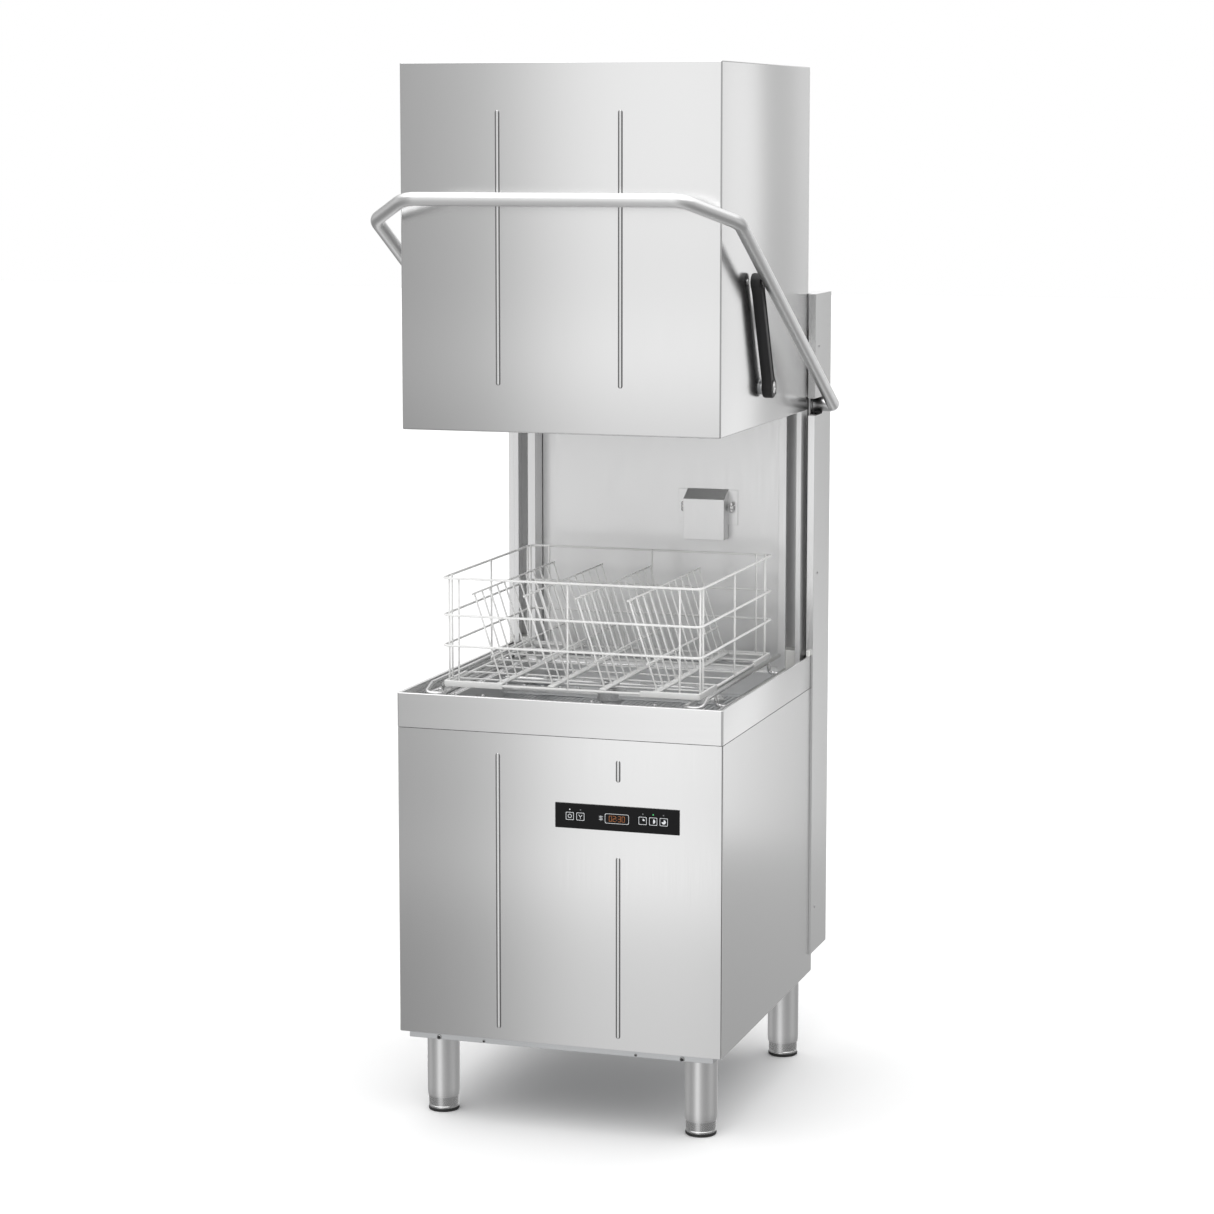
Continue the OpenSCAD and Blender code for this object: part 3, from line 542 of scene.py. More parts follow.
def link_outline(inset, count=36):
    """The link's side view: a bar with a round boss at each end and a slim waist, as (y, z) pairs."""
    run = LINK_LOW - LINK_TOP
    length = math.hypot(run.y, run.z)
    down = Vector((run.y, run.z)) / length
    across = Vector((-down.y, down.x))
    top_r, low_r, waist = TOP_BOSS - inset, LOW_BOSS - inset, WAIST - inset
    right = []
    for i in range(count + 1):
        t = -top_r + (length + top_r + low_r) * (1 - math.cos(math.pi * i / count)) / 2
        widths = [waist if 0 <= t <= length else 0]
        if abs(t) <= top_r:
            widths.append(math.sqrt(max(top_r ** 2 - t ** 2, 0)))
        if abs(t - length) <= low_r:
            widths.append(math.sqrt(max(low_r ** 2 - (t - length) ** 2, 0)))
        for r, c in ((top_r, 0), (low_r, length)):
            away = abs(t - c) - r
            if 0 < away < BLEND or (away <= 0 and 0 < t < length):
                widths.append(waist + (r - waist) * 0.25 * max(0, 1 - max(away, 0) / BLEND) ** 2)
        right.append((t, max(widths)))
    points = [(t, w) for t, w in right] + [(t, -w) for t, w in reversed(right[1:-1])]
    start = Vector((LINK_TOP.y, LINK_TOP.z))
    return [start + down * t + across * w for t, w in points]


def make_link(node, side):
    """A moulded link with a pin cover at each end and a steel screw in the lower one."""
    part = bmesh.new()
    x0, x1 = LINK_X
    round_off = 0.003
    sections = [(x0, 0.003), (x0 + 0.0009, 0.0009), (x0 + round_off, 0), (x1 - round_off, 0),
                (x1 - 0.0009, 0.0009), (x1, 0.003), (x1, 0.0055), (x1 - 0.0012, 0.0068)]
    rings = [[part.verts.new((side * x, p.x, p.y)) for p in link_outline(inset)] for x, inset in sections]
    join_rings(part, rings)
    part.faces.new(rings[0])
    part.faces.new(rings[-1])
    bm = bmesh.new()
    add_mesh(bm, part)
    for end, r in ((LINK_TOP, 0.0125), (LINK_LOW, 0.0145)):
        lathe(bm, (side * (x1 - 0.002), end.y, end.z), (side, 0, 0),
              [(0, 0), (r, 0), (r, 0.0018), (r - 0.0008, 0.0022), (0, 0.0022)])
    lathe(bm, (side * x1, LINK_LOW.y, LINK_LOW.z), (side, 0, 0),
          [(0, -0.001), (0.0105, -0.001), (0.0110, 0.0002), (0.0105, 0.0005), (0.0078, 0.0006),
           (0.0076, 0.0011), (0.0066, 0.0014), (0.0034, 0.0015), (0.0030, 0.0002), (0, 0.0002)],
          sides=24, material=1)
    make_piece("moulded_" + node, bm, node, [LOOKS["black_plastic"], LOOKS["bolt_steel"]],
               "black_plastic", node, crease=35)


make_link("link_right", 1)
make_link("link_left", -1)

bm = bmesh.new()
for side in (-1, 1):
    lathe(bm, (side * 0.292, PIVOT.y, PIVOT.z), (side, 0, 0),
          [(0.00806, 0), (0.0165, 0), (0.017, 0.0005), (0.017, 0.007), (0.0205, 0.007), (0.021, 0.0075),
           (0.021, 0.0105), (0.0205, 0.011), (0.017, 0.011), (0.017, 0.0135), (0.0165, 0.014),
           (0.00806, 0.014), (0.00806, 0)])
make_piece("pivot_bush_pair", bm, "chassis", LOOKS["tube_steel"], "bolt_steel", "pivot_bushes")

# ---- legs and feet ----

LEG_R, LEG_TOP, LEG_FOOT = 0.031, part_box("frame")[0].z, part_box("leg_tubes")[0].z
bm = bmesh.new()
feet = {}
for place in ("front_left", "front_right", "rear_left", "rear_right"):
    low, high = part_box("foot_" + place)
    centre = (low + high) / 2
    feet[place] = centre
    lathe(bm, (centre.x, centre.y, 0), (0, 0, 1),
          [(0.0288, LEG_TOP - 0.004), (0.0288, LEG_FOOT), (0.0296, LEG_FOOT), (0.0300, LEG_FOOT + 0.0008),
           (0.0303, LEG_FOOT + 0.004), (0.0309, LEG_FOOT + 0.011), (LEG_R, LEG_FOOT + 0.016),
           (LEG_R, LEG_TOP), (0.0288, LEG_TOP), (0.0288, LEG_TOP - 0.004)], sides=56)
make_piece("leg_tube_set", bm, "chassis", LOOKS["tube_steel"], "tube_steel", "leg_tubes")
for place, centre in feet.items():
    bm = bmesh.new()
    lathe(bm, (centre.x, centre.y, 0), (0, 0, 1),
          [(0, 0.006), (0.0283, 0.006), (0.0286, 0.0065), (0.0286, 0.0095), (0.0279, 0.0105),
           (0.0279, 0.0120), (0.0285, 0.0130), (0.0285, 0.092), (0.027, 0.099), (0, 0.099)], sides=56)
    lathe(bm, (centre.x, centre.y, 0), (0, 0, 1),
          [(0, 0), (0.0270, 0), (0.0290, 0.0012), (0.0294, 0.0030), (0.0294, 0.0050), (0.0286, 0.0062),
           (0, 0.0062)], sides=56, material=1)
    make_piece("adjuster_" + place, bm, "foot_" + place, [LOOKS["foot_steel"], LOOKS["hose_rubber"]],
               "foot_steel", "foot_" + place)

# ---- fasteners ----


def pan_screw(bm, place, axis, r, height):
    """A low screw head with a black disc in its socket: painted shade in the recess."""
    lathe(bm, place, axis, [(0, 0), (r * 0.97, 0), (r, height * 0.2), (r * 0.94, height * 0.6),
                            (r * 0.80, height * 0.9), (r * 0.66, height), (r * 0.62, height * 0.5),
                            (0, height * 0.45)], sides=24)
    lathe(bm, place, axis, [(0, height * 0.40), (r * 0.63, height * 0.40), (r * 0.63, height * 0.62),
                            (0, height * 0.52)], sides=24, material=1)


def wing_nut(bm, place):
    """Hub and two wings on a stud, facing the front."""
    x, y, z = place
    lathe(bm, place, (0, -1, 0),
          [(0, 0), (0.0068, 0), (0.0068, 0.0015), (0.0052, 0.003), (0.0048, 0.007), (0.0040, 0.0078),
           (0.0026, 0.008), (0.0026, 0.011), (0, 0.0114)], sides=24)
    for side in (-1, 1):
        wing = bmesh.new()
        outline = [(-0.0032, 0.003), (-0.0040, 0.0065), (-0.0022, 0.0100), (0.0022, 0.0108),
                   (0.0040, 0.0085), (0.0030, 0.0058), (0.0030, 0.003)]
        front = [wing.verts.new((x + a, y - 0.0115, z + side * b)) for a, b in outline]
        back = [wing.verts.new((x + a, y - 0.0092, z + side * b)) for a, b in outline]
        wing.faces.new(front)
        wing.faces.new(back)
        join_rings(wing, [front, back])
        bmesh.ops.bevel(wing, geom=wing.edges[:], offset=0.0006, segments=2, profile=0.5, affect="EDGES")
        add_mesh(bm, wing)


RAIL_FRONT, RAIL_Z = FRONT + 0.008, PANEL_FOOT - 0.008
PLATE_FRONT, NUT_Z, NUT_X = FRONT + 0.663, 1.112, (0.048, 0.148)
COLUMN_X, SCREW_Y, SCREW_Z = 0.3225, FRONT + 0.675, (0.300, 0.985, 1.440)
bm = bmesh.new()
for offset, head_r, head_h in ((0.24, 0.005, 0.0019), (0.15, 0.003, 0.0014)):
    for side in (-1, 1):
        pan_screw(bm, (side * offset, RAIL_FRONT, RAIL_Z), (0, -1, 0), head_r, head_h)
for x in NUT_X:
    wing_nut(bm, (x, PLATE_FRONT, NUT_Z))
for side in (-1, 1):
    for z in SCREW_Z:
        pan_screw(bm, (side * COLUMN_X, SCREW_Y, z), (side, 0, 0), 0.0035, 0.0010)
# the black discs in the screw heads are painted shade in their sockets
make_piece("fastener_set", bm, "chassis", [LOOKS["bolt_steel"], LOOKS["black_plastic"]], "bolt_steel",
           "screws")

# ---- controls ----

FASCIA_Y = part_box("control_fascia")[0].y
PRINT = 0.0002


def flat_shape(bm, outline, y, depth, material=0):
    """A thin flat shape on a surface that faces the front, from (x, z) corners."""
    part = bmesh.new()
    front = [part.verts.new((x, y - depth, z)) for x, z in outline]
    back = [part.verts.new((x, y, z)) for x, z in outline]
    part.faces.new(front)
    part.faces.new(back)
    join_rings(part, [front, back])
    add_mesh(bm, part, material)


def flat_ring(bm, outer, inner, y, depth, material=0):
    """A thin flat loop between two outlines with the same number of corners."""
    part = bmesh.new()
    loops = [[part.verts.new((x, y - d, z)) for x, z in line]
             for line, d in ((outer, 0), (outer, depth), (inner, depth), (inner, 0))]
    join_rings(part, loops + loops[:1])
    add_mesh(bm, part, material)


def circle(x, z, r, count=28, start=0, sweep=360):
    span = count if sweep == 360 else count + 1
    return [(x + r * math.sin(math.radians(start + sweep * k / count)),
             z + r * math.cos(math.radians(start + sweep * k / count))) for k in range(span)]


def soft_square(x, z, half_w, half_h, corner=0.0016):
    points = []
    for sx, sz, start in ((1, 1, 0), (1, -1, 90), (-1, -1, 180), (-1, 1, 270)):
        points += circle(x + sx * (half_w - corner), z + sz * (half_h - corner), corner, 4, start, 90)
    return points


def key_icon(bm, kind, x, z, y):
    """White print on a key, which glows as painted light: a frame and one plain sign."""
    flat_ring(bm, soft_square(x, z, 0.0077, 0.0073), soft_square(x, z, 0.0069, 0.0065), y, PRINT)
    if kind == "power":
        flat_ring(bm, circle(x, z, 0.0038), circle(x, z, 0.0029), y, PRINT)
    elif kind == "drain":
        for side in (-1, 1):
            arm = [(x, z - 0.0002), (x + side * 0.0030, z + 0.0036), (x + side * 0.0037, z + 0.0031),
                   (x + side * 0.0006, z - 0.0008)]
            flat_shape(bm, arm, y, PRINT)
        flat_shape(bm, [(x - 0.0004, z - 0.0004), (x + 0.0004, z - 0.0004), (x + 0.0004, z - 0.0040),
                        (x - 0.0004, z - 0.0040)], y, PRINT)
    else:
        share = {"short": 90, "medium": 180, "long": 270}[kind]
        flat_shape(bm, [(x, z)] + circle(x, z, 0.0040, 20, 0, share), y, PRINT)


for kind in ("power", "drain", "short", "medium", "long"):
    low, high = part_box("key_" + kind)
    bm = bmesh.new()
    key_icon(bm, kind, (low.x + high.x) / 2, (low.z + high.z) / 2, low.y)
    make_piece("icon_" + kind, bm, "key_" + kind, ICON_WHITE, "control_glass", crease=20)

# each segment's ends, in digit widths and half heights
SEGMENTS = {"a": (0, 2, 1, 2), "b": (1, 1, 1, 2), "c": (1, 0, 1, 1), "d": (0, 0, 1, 0), "e": (0, 0, 0, 1),
            "f": (0, 1, 0, 2), "g": (0, 1, 1, 1)}
FIGURES = {"0": "abcdef", "2": "abdeg", "3": "abcdg"}


def digit(bm, figure, x, z, y):
    """A seven-segment figure, 4.8 mm wide and 10 mm high, whose lower left corner is at x, z."""
    width, half, bar_w = 0.0048, 0.0050, 0.0005
    for name in FIGURES[figure]:
        ax, az, bx, bz = SEGMENTS[name]
        x0, x1 = x + width * ax, x + width * bx
        z0, z1 = z + half * az, z + half * bz
        slab(bm, (x0 - bar_w / 2, y - PRINT, z0 - bar_w / 2), (x1 + bar_w / 2, y, z1 + bar_w / 2), edge=0)


WINDOW_X, WINDOW_Z = 0.116, 0.607         # middle of the display window
DIGIT_X, DIGIT_Z, DIGIT_PITCH, COLON_GAP = 0.1012, 0.6020, 0.0074, 0.0026
bm = bmesh.new()
for i, figure in enumerate("0230"):
    digit(bm, figure, DIGIT_X + i * DIGIT_PITCH + (COLON_GAP if i > 1 else 0), DIGIT_Z, FASCIA_Y)
for z in (0.6043, 0.6089):
    slab(bm, (0.1152, FASCIA_Y - PRINT, z), (0.1162, FASCIA_Y, z + 0.0010), edge=0)
make_piece("display_digits", bm, "chassis", DIGIT_ORANGE, "control_glass", crease=20)
# the display's frame and signs are print that glows with painted light
bm = bmesh.new()
flat_ring(bm, soft_square(WINDOW_X, WINDOW_Z, 0.0232, 0.0092, 0.003),
          soft_square(WINDOW_X, WINDOW_Z, 0.0225, 0.0085, 0.003), FASCIA_Y, PRINT)
for dz in (-0.003, 0.0, 0.003):
    slab(bm, (0.0815, FASCIA_Y - PRINT, 0.6067 + dz), (0.0890, FASCIA_Y, 0.6074 + dz), edge=0)
slab(bm, (0.0848, FASCIA_Y - PRINT, 0.6022), (0.0856, FASCIA_Y, 0.6115), edge=0)
make_piece("display_print", bm, "chassis", ICON_WHITE, "control_glass", crease=20)
LAMP_Z = 0.6195
for name, x, look in (("lamp_power", 0.0247, ICON_WHITE), ("lamp_drain", 0.0455, ICON_DIM),
                      ("lamp_short", 0.1661, ICON_DIM), ("lamp_medium", 0.1859, LAMP_GREEN),
                      ("lamp_long", 0.2059, ICON_DIM)):
    bm = bmesh.new()
    lathe(bm, (x, FASCIA_Y, LAMP_Z), (0, -1, 0),
          [(0, 0), (0.0013, 0), (0.0011, 0.0003), (0, 0.0004)], sides=20)
    make_piece(name, bm, "chassis", look, "control_glass")

# ---- rack ----

low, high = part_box("rack_frame")
RACK_HALF, RACK_FOOT, RACK_TOP = 0.250, low.z, high.z
WIRE, RING_R, RUNNER_R = 0.0019, 0.0023, 0.0028
RING_OUT = RACK_HALF + 0.0033
RING_Z = (0.901, 0.959, RACK_TOP - 0.0025)
POSTS = (-0.241, -0.222, -0.006, 0.212)
FLOOR_Z = RACK_FOOT + 0.0055


def around(x, out, z, turn):
    """A point on one of the rack's four sides, with out measured from its middle."""
    return Matrix.Rotation(math.radians(turn), 3, "Z") @ Vector((x, -out, 0)) + Vector((0, MIDDLE_Y, z))


bm = bmesh.new()
for z in RING_Z:
    corners = [(0, -RING_OUT), (RING_OUT, -RING_OUT), (RING_OUT, RING_OUT), (-RING_OUT, RING_OUT),
               (-RING_OUT, -RING_OUT), (0, -RING_OUT)]
    bar(bm, [(x, MIDDLE_Y + y, z) for x, y in corners], RING_R, bend=0.014, sides=14)
for turn in (0, 90, 180, 270):
    for x in POSTS:
        bar(bm, [around(x, RACK_HALF - 0.001, RACK_FOOT + 0.004, turn),
                 around(x, RACK_HALF - 0.001, RACK_TOP - 0.001, turn)], WIRE)
    ends = [around(-RACK_HALF + 0.002, RACK_HALF - 0.002, FLOOR_Z, turn),
            around(RACK_HALF - 0.002, RACK_HALF - 0.002, FLOOR_Z, turn)]
    bar(bm, ends, RUNNER_R, sides=14)
    for sign in (-1, 1):
        near = around(sign * (RACK_HALF - 0.115), RACK_HALF - 0.003, RACK_FOOT, turn)
        far = around(sign * RACK_HALF, RACK_HALF + 0.002, RACK_FOOT + 0.012, turn)
        slab(bm, [min(a, b) for a, b in zip(near, far)], [max(a, b) for a, b in zip(near, far)], edge=0.0016)
for i in range(6):
    y = MIDDLE_Y - 0.185 + 0.074 * i
    bar(bm, [(-RACK_HALF + 0.003, y, FLOOR_Z), (RACK_HALF - 0.003, y, FLOOR_Z)], WIRE)
make_piece("rack_basket", bm, "rack", LOOKS["rack_coating"], "rack_coating", "rack_frame", crease=50)

LEAN, ROD_LENGTH = math.radians(18), 0.178
ROWS, ROD_R, ROD_PITCH, ROD_COUNT = (-0.143, -0.041, 0.061, 0.163), 0.0018, 0.042, 12
bm = bmesh.new()
for x in ROWS:
    base = Vector((x, MIDDLE_Y, RACK_FOOT + 0.0075))
    up = Vector((-math.sin(LEAN), 0, math.cos(LEAN)))
    slab(bm, base + Vector((-0.007, -0.244, 0)), base + Vector((0.007, 0.244, 0.0035)), edge=0.0014)
    for i in range(ROD_COUNT):
        foot = base + Vector((0, -0.231 + i * ROD_PITCH, 0.002))
        bar(bm, [foot, foot + up * ROD_LENGTH], ROD_R)
    for height in (0.055, ROD_LENGTH):
        middle = base + up * height
        ends = [middle + Vector((0, y, 0)) for y in (-0.240, 0.240)]
        bar(bm, ends, WIRE)
make_piece("rack_rows", bm, "rack", LOOKS["rack_coating"], "rack_coating", "rack_dividers", crease=50)

# ---- rack guide ----

RUN_X, RUN_Z = 0.236, 0.817               # rod under the rack
FENCE_X, FENCE_Z = 0.270, 0.830           # rod beside the rack
OUTER_X, OUTER_Z = 0.287, 0.805           # thin rod outside the feet
STAND_X, STAND_Z = 0.279, 0.7918          # feet on the ledge
CROSS_Z = 0.809


def guide_rod(bm, side, points, r, bend, sides=16):
    bar(bm, [at(side * x, depth, z) for x, depth, z in points], r, bend, sides)


bm = bmesh.new()
for side in (-1, 1):
    guide_rod(bm, side, [(FENCE_X, 0.575, FENCE_Z), (FENCE_X, 0.062, FENCE_Z), (FENCE_X, 0.026, RUN_Z),
                         (RUN_X, 0.026, RUN_Z), (RUN_X, 0.592, RUN_Z)], 0.0045, 0.012, 20)
    guide_rod(bm, side, [(OUTER_X, 0.560, OUTER_Z), (OUTER_X, 0.030, OUTER_Z), (0.252, 0.030, 0.810),
                         (0.252, 0.060, 0.811)], 0.0028, 0.009)
    for depth in (0.120, 0.500):
        guide_rod(bm, side, [(FENCE_X, depth, 0.828), (FENCE_X, depth, 0.808), (STAND_X, depth, 0.808),
                             (STAND_X, depth, STAND_Z)], 0.003, 0.004)
        guide_rod(bm, side, [(FENCE_X, depth + 0.004, 0.806), (OUTER_X, depth + 0.004, 0.806)], 0.0025, 0.004)
        lathe(bm, at(side * STAND_X, depth, STAND_Z - 0.0002), (0, 0, 1),
              [(0, 0), (0.0062, 0), (0.0062, 0.002), (0.0045, 0.0045), (0.003, 0.005), (0, 0.005)], sides=24)
for depth in (0.045, 0.592):
    bar(bm, [at(-0.240, depth, CROSS_Z), at(0.240, depth, CROSS_Z)], 0.004, sides=16)
for x in (-0.221, -0.162, 0.052, 0.174):
    lathe(bm, at(x, 0.045, CROSS_Z), (0, 0, 1),
          [(0, 0), (0.003, 0), (0.003, 0.007), (0.0022, 0.008), (0, 0.0081)], sides=20)
make_piece("rod_guide", bm, "chassis", LOOKS["rod_steel"], "rod_steel", "rack_guide", crease=50)

# ---- wash and rinse arms ----


def make_arm(name, blade_w, blade_h, length, hub_r, up):
    """A pressed arm: two blades that taper to round ends, a turned hub, and a row of jets."""
    low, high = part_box(name)
    foot = low.z if up else high.z - blade_h
    axis = Vector((0, MIDDLE_Y, foot))
    part = bmesh.new()
    stations, around_count = 24, 14
    rows = []
    for i in range(stations + 1):
        x = -length + 2 * length * i / stations
        x = math.copysign(length * (1 - (1 - abs(x) / length) ** 1.4), x) if abs(x) > length / 2 else x
        share = abs(x) / length
        tip = math.sqrt(max(0.0, 1 - max(0, (share - 0.93) / 0.07) ** 2))
        half_w = max((blade_w / 2) * (1 - 0.25 * share) * tip, 0.0012)
        half_h = max((blade_h / 2 - 0.002) * (0.35 + 0.65 * tip), 0.001)
        row = []
        for k in range(around_count):
            t = 2 * math.pi * k / around_count
            c, s = math.cos(t), math.sin(t)
            y, z = half_w * math.copysign(abs(c) ** 0.6, c), half_h * math.copysign(abs(s) ** 0.6, s)
            row.append(part.verts.new(axis + Vector((x, y, blade_h / 2 + z))))
        rows.append(row)
    join_rings(part, rows)
    part.faces.new(rows[0])
    part.faces.new(rows[-1])
    bm = bmesh.new()
    add_mesh(bm, part)
    bore = 0.00806
    lathe(bm, axis, (0, 0, 1), [(bore, 0), (hub_r - 0.002, 0), (hub_r, 0.002), (hub_r, blade_h - 0.002),
                                (hub_r - 0.002, blade_h), (bore, blade_h), (bore, 0)])
    sign = 1 if up else -1
    face = blade_h - 0.002 if up else 0.002
    for side in (-1, 1):
        for i in range(1, 6):
            x = side * (hub_r + (length - hub_r - 0.012) * i / 5)
            lathe(bm, axis + Vector((x, 0, face)), (0, 0, sign),
                  [(0, -0.002), (0.0042, -0.002), (0.0042, 0.001), (0.0034, 0.0026), (0.0016, 0.0028),
                   (0.0014, 0.0012), (0, 0.0012)], sides=20)
    make_piece(name + "_pressing", bm, name, LOOKS["arm_steel"], "arm_steel", name, crease=40)


for place, up in (("lower", True), ("upper", False)):
    make_arm(place + "_wash_arm", blade_w=0.044, blade_h=0.020, length=0.228, hub_r=0.030, up=up)
    make_arm(place + "_rinse_arm", blade_w=0.014, blade_h=0.014, length=0.224, hub_r=0.020, up=up)

# ---- filter plate, with its rows of holes ----


def perforated_plate(bm, low, high, z0, z1, pitch, hole_r, keep):
    """A sheet whose square cells each hold an eight-sided hole, where keep(x, y) allows one."""
    columns = round((high[0] - low[0]) / pitch)
    rows = round((high[1] - low[1]) / pitch)
    step_x, step_y = (high[0] - low[0]) / columns, (high[1] - low[1]) / rows
    part = bmesh.new()
    for i in range(columns):
        for j in range(rows):
            cx, cy = low[0] + (i + 0.5) * step_x, low[1] + (j + 0.5) * step_y
            state = keep(cx, cy)
            if state == "gap":
                continue
            corners = [(cx + sx * step_x / 2, cy + sy * step_y / 2)
                       for sx, sy in ((1, 0), (1, 1), (0, 1), (-1, 1), (-1, 0), (-1, -1), (0, -1), (1, -1))]
            edge = [part.verts.new((x, y, z1)) for x, y in corners]
            if state == "plain":
                part.faces.new(edge)
                continue
            hole = [part.verts.new((cx + hole_r * math.cos(math.pi * k / 4),
                                    cy + hole_r * math.sin(math.pi * k / 4), z1)) for k in range(8)]
            join_rings(part, [edge, hole])
    bmesh.ops.remove_doubles(part, verts=part.verts, dist=1e-5)
    sheet = bmesh.ops.extrude_face_region(part, geom=part.faces[:])
    bmesh.ops.translate(part, verts=[v for v in sheet["geom"] if isinstance(v, bmesh.types.BMVert)],
                        vec=(0, 0, z0 - z1))
    add_mesh(bm, part)


low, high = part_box("standpipe")
# middle and radius of each round gap: sump filter, arm spindle and standpipe
GAPS = ((-0.110, MIDDLE_Y, 0.052), (0, MIDDLE_Y, 0.028), ((low.x + high.x) / 2, (low.y + high.y) / 2, 0.026))


def plate_cell(x, y):
    """What a cell of the filter plate is: a gap, plain sheet or a hole."""
    for cx, cy, gap in GAPS:
        away = math.hypot(x - cx, y - cy)
        if away < gap:
            return "gap"
        if away < gap + 0.010:
            return "plain"
    return "hole" if abs(x) < 0.240 and abs(y - MIDDLE_Y) < 0.246 else "plain"


low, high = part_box("tank_filter")
bm = bmesh.new()
perforated_plate(bm, low, high, low.z, high.z, pitch=0.010, hole_r=0.0031, keep=plate_cell)
make_piece("filter_plate", bm, "chassis", LOOKS["inner_steel"], "inner_steel", "tank_filter", crease=30)

# ---- connections on the rear ----

REAR = TABLE_HIGH.y
bm = bmesh.new()
mounts = {m["name"]: Vector(m["pos_m"]) for m in frame["record"]["mounts"]}
x, z = mounts["water_inlet"].x, mounts["water_inlet"].z
thread = [(0.0118, 0.028), (0.0132, 0.0268)]
for i in range(11):
    thread += [(0.0132, 0.0262 - 0.0018 * i), (0.0122, 0.0253 - 0.0018 * i)]
thread += [(0.0132, 0.0058), (0.0132, 0.004), (0.0172, 0.004), (0.018, 0.0034), (0.018, 0.0004), (0.0175, 0)]
lathe(bm, (x, REAR, z), (0, 1, 0),
      [(0, -0.01), (0.0092, -0.01), (0.0092, 0.028)] + thread
      + [(0.0132, -0.0015), (0.0132, -0.0600), (0, -0.0600)])
slab(bm, (x - 0.020, FRONT + 0.580, z - 0.020), (x + 0.020, FRONT + 0.612, z + 0.040), edge=0.002)
make_piece("inlet_valve_body", bm, "chassis", LOOKS["brass_fitting"], "brass_fitting", "inlet_valve")

x, z = mounts["drain_outlet"].x, mounts["drain_outlet"].z
bm = bmesh.new()
lathe(bm, (x, REAR, z), (0, 1, 0),
      [(0, -0.075), (0.0125, -0.075), (0.0125, 0.038), (0.0142, 0.038), (0.015, 0.0362), (0.015, 0.030),
       (0.0146, 0.0285), (0.015, 0.027), (0.015, 0.020), (0.0146, 0.0185), (0.015, 0.017), (0.015, 0.005),
       (0.0205, 0.005), (0.021, 0.0045), (0.021, 0.0005), (0.0205, 0), (0.015, 0), (0.015, -0.0780),
       (0, -0.0780)])
make_piece("drain_stub", bm, "chassis", LOOKS["black_plastic"], "black_plastic", "drain_spigot")

x, z = mounts["cable_gland"].x, mounts["cable_gland"].z
bm = bmesh.new()
lathe(bm, (x, REAR, z), (0, 1, 0),
      [(0.006, -0.012), (0.0096, -0.012), (0.010, -0.0115), (0.010, -0.002), (0.010, 0)], sides=6)
lathe(bm, (x, REAR, z), (0, 1, 0),
      [(0.006, -0.012), (0.010, -0.012), (0.010, 0.0002), (0.0148, 0.0002), (0.0148, 0.0055),
       (0.0125, 0.0060), (0.0130, 0.0066), (0.0128, 0.0110), (0.0105, 0.0136), (0.0075, 0.0140),
       (0.0062, 0.0136), (0.006, 0.0125), (0.006, -0.012)], sides=36)
make_piece("gland_body", bm, "chassis", LOOKS["black_plastic"], "black_plastic", "cable_gland")

# ---- camera, floor and light ----


def make_stage():
    """A matt floor that reflections don't show."""
    mesh = bpy.data.meshes.new("floor")
    half = 30
    corners = [(-half, -half, 0), (half, -half, 0), (half, half, 0), (-half, half, 0)]
    mesh.from_pydata(corners, [], [(0, 1, 2, 3)])
    floor = bpy.data.objects.new("floor", mesh)
    bpy.context.scene.collection.objects.link(floor)
    n = Nodes("floor_paint")
    n.shader.inputs["Base Color"].default_value = (0.93, 0.93, 0.93, 1)
    n.shader.inputs["Roughness"].default_value = 0.9
    n.shader.inputs["Specular IOR Level"].default_value = 0.1
    mesh.materials.append(n.material)
    floor.visible_glossy = False


def make_camera():
    """The photograph's viewpoint; the small shift stands for part of its perspective correction."""
    azimuth, pitch = math.radians(17.83), math.radians(7.39)
    forward = Vector((-math.sin(azimuth) * math.cos(pitch), math.cos(azimuth) * math.cos(pitch),
                      -math.sin(pitch)))
    data = bpy.data.cameras.new("camera")
    data.sensor_width = 36
    data.lens = 94.83
    data.shift_y = -0.05
    data.clip_end = 200
    camera = bpy.data.objects.new("camera", data)
    camera.location = (1.8668, -5.8407, 1.8624)
    camera.rotation_mode = "QUATERNION"
    camera.rotation_quaternion = forward.to_track_quat("-Z", "Y")
    bpy.context.scene.collection.objects.link(camera)
    bpy.context.scene.camera = camera


def place_light(data, name, place, target):
    light = bpy.data.objects.new(name, data)
    light.location = place
    light.rotation_mode = "QUATERNION"
    light.rotation_quaternion = (Vector(target) - Vector(place)).to_track_quat("-Z", "Y")
    light.visible_camera = False
    bpy.context.scene.collection.objects.link(light)


def softbox(name, place, target, width, height, radiance):
    """A rectangular light whose power follows from how bright its face should be."""
    data = bpy.data.lights.new(name, "AREA")
    data.shape = "RECTANGLE"
    data.size, data.size_y = width, height
    data.energy = radiance * math.pi * width * height
    place_light(data, name, place, target)


def make_sun(strength, spread, place):
    """A broad light from above."""
    data = bpy.data.lights.new("sky_panel", "SUN")
    data.energy = strength
    data.angle = math.radians(spread)
    place_light(data, "sky_panel", place, (0, 0, 0))


def ramp_node(add, join, source, low, high, levels):
    """A grey ramp read along source, with its levels given at (value, level)."""
    ranged = add("ShaderNodeMapRange")
    ranged.inputs["From Min"].default_value = low
    ranged.inputs["From Max"].default_value = high
    join(source, ranged.inputs["Value"])
    ramp = add("ShaderNodeValToRGB")
    ramp.color_ramp.interpolation = "EASE"
    stops = ramp.color_ramp.elements
    spots = [((value - low) / (high - low), level) for value, level in levels]
    stops[0].position, stops[1].position = spots[0][0], spots[-1][0]
    stops[0].color = (spots[0][1],) * 3 + (1,)
    stops[1].color = (spots[-1][1],) * 3 + (1,)
    for position, level in spots[1:-1]:
        stops.new(position).color = (level, level, level, 1)
    join(ranged.outputs["Result"], ramp.inputs["Fac"])
    return ramp.outputs["Color"]


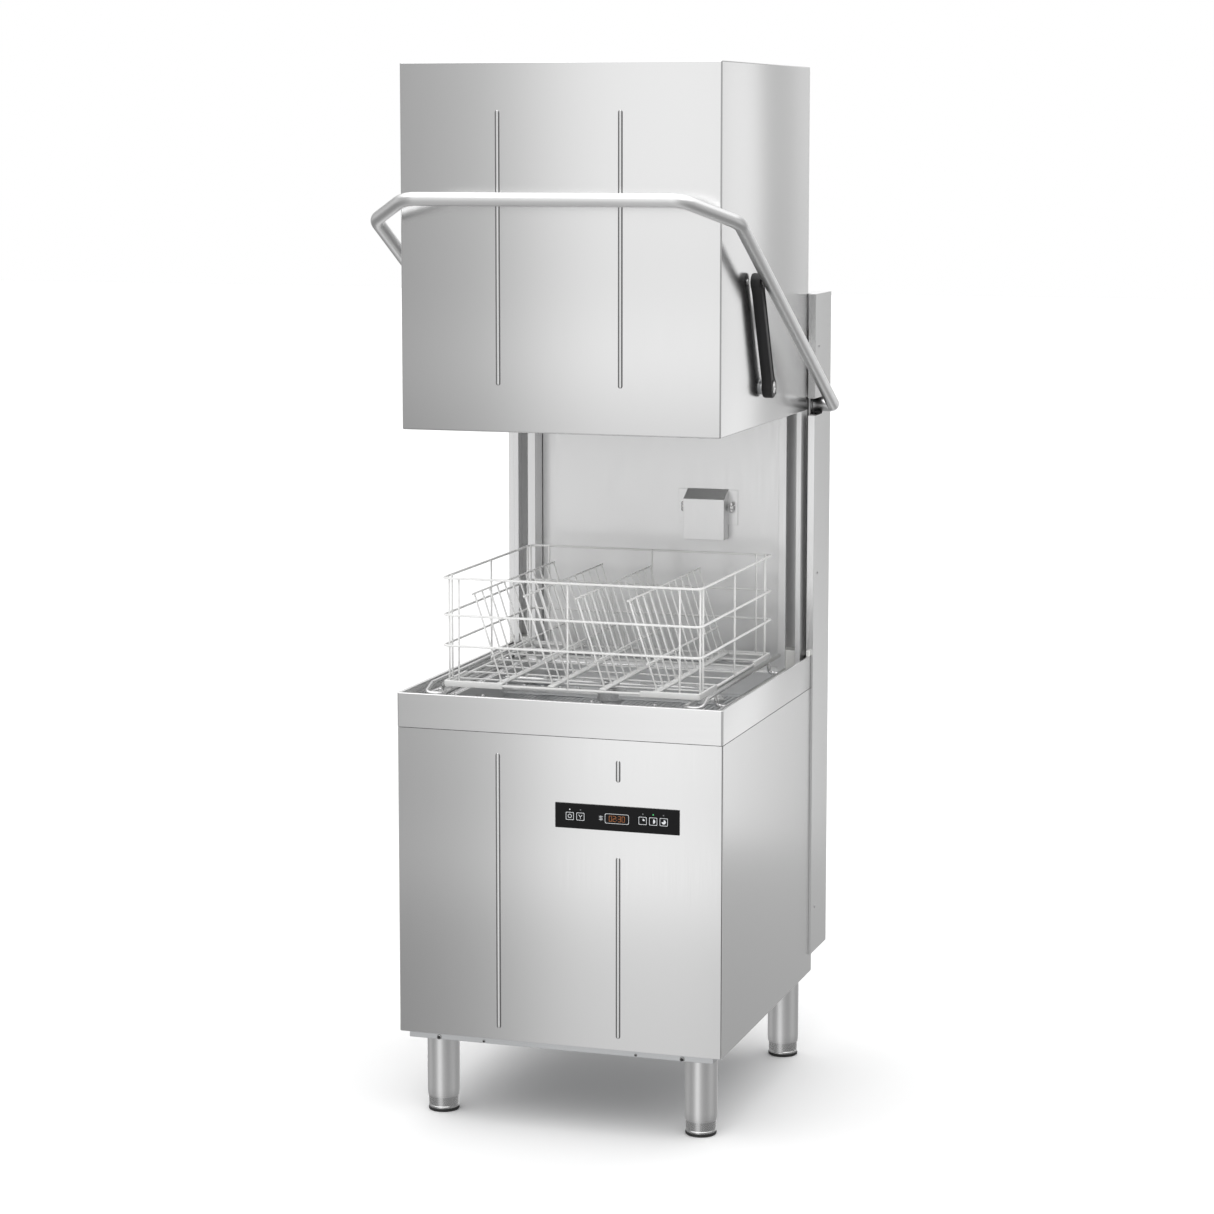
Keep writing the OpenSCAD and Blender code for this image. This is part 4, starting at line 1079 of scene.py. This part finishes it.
# brightness of the room along X and along Z, as (direction, level)
ROOM_ACROSS = ((-1.0, 0.62), (-0.86, 0.38), (-0.58, 0.42), (-0.42, 0.57), (-0.33, 0.92), (-0.26, 1.08),
               (0.0, 1.08), (0.17, 0.53), (0.35, 0.47), (0.66, 0.38), (0.86, 0.38), (1.0, 0.62))
ROOM_UPWARD = ((-1.0, 0.60), (-0.32, 0.72), (-0.27, 0.82), (-0.185, 1.10), (-0.09, 0.90), (0.04, 1.0),
               (1.0, 1.0))
CEILING = 1.15


def make_world():
    """White to the camera; to surfaces, a room with a bright ceiling and darker sides."""
    world = bpy.data.worlds.new("studio")
    bpy.context.scene.world = world
    world.use_nodes = True
    tree = world.node_tree
    tree.nodes.clear()
    add, join = tree.nodes.new, tree.links.new
    place = add("ShaderNodeTexCoord")
    split = add("ShaderNodeSeparateXYZ")
    join(place.outputs["Generated"], split.inputs["Vector"])
    across = ramp_node(add, join, split.outputs["X"], -1.0, 1.0, ROOM_ACROSS)
    upward = ramp_node(add, join, split.outputs["Z"], -1.0, 1.0, ROOM_UPWARD)
    walls = add("ShaderNodeMix")
    walls.data_type = "RGBA"
    walls.blend_type = "MULTIPLY"
    walls.inputs["Factor"].default_value = 1.0
    join(across, walls.inputs[6])
    join(upward, walls.inputs[7])
    height = add("ShaderNodeMapRange")
    height.interpolation_type = "SMOOTHSTEP"
    height.inputs["From Min"].default_value = 0.35
    height.inputs["From Max"].default_value = 0.75
    join(split.outputs["Z"], height.inputs["Value"])
    blend = add("ShaderNodeMix")
    blend.data_type = "RGBA"
    join(height.outputs["Result"], blend.inputs["Factor"])
    join(walls.outputs[2], blend.inputs[6])
    blend.inputs[7].default_value = (CEILING, CEILING, CEILING, 1)
    room = add("ShaderNodeBackground")
    join(blend.outputs[2], room.inputs["Color"])
    seen = add("ShaderNodeBackground")
    seen.inputs["Color"].default_value = (1, 1, 1, 1)
    rays = add("ShaderNodeLightPath")
    mix = add("ShaderNodeMixShader")
    out = add("ShaderNodeOutputWorld")
    join(rays.outputs["Is Camera Ray"], mix.inputs["Fac"])
    join(room.outputs["Background"], mix.inputs[1])
    join(seen.outputs["Background"], mix.inputs[2])
    join(mix.outputs["Shader"], out.inputs["Surface"])


make_stage()
make_camera()
make_world()
make_sun(strength=1.15, spread=90, place=(-0.3, -0.7, 3.2))
softbox("side", place=(1.28, 1.9, 1.18), target=(0.35, -0.2, 1.18), width=0.72, height=2.3, radiance=0.56)
bpy.context.scene.view_settings.view_transform = "Standard"
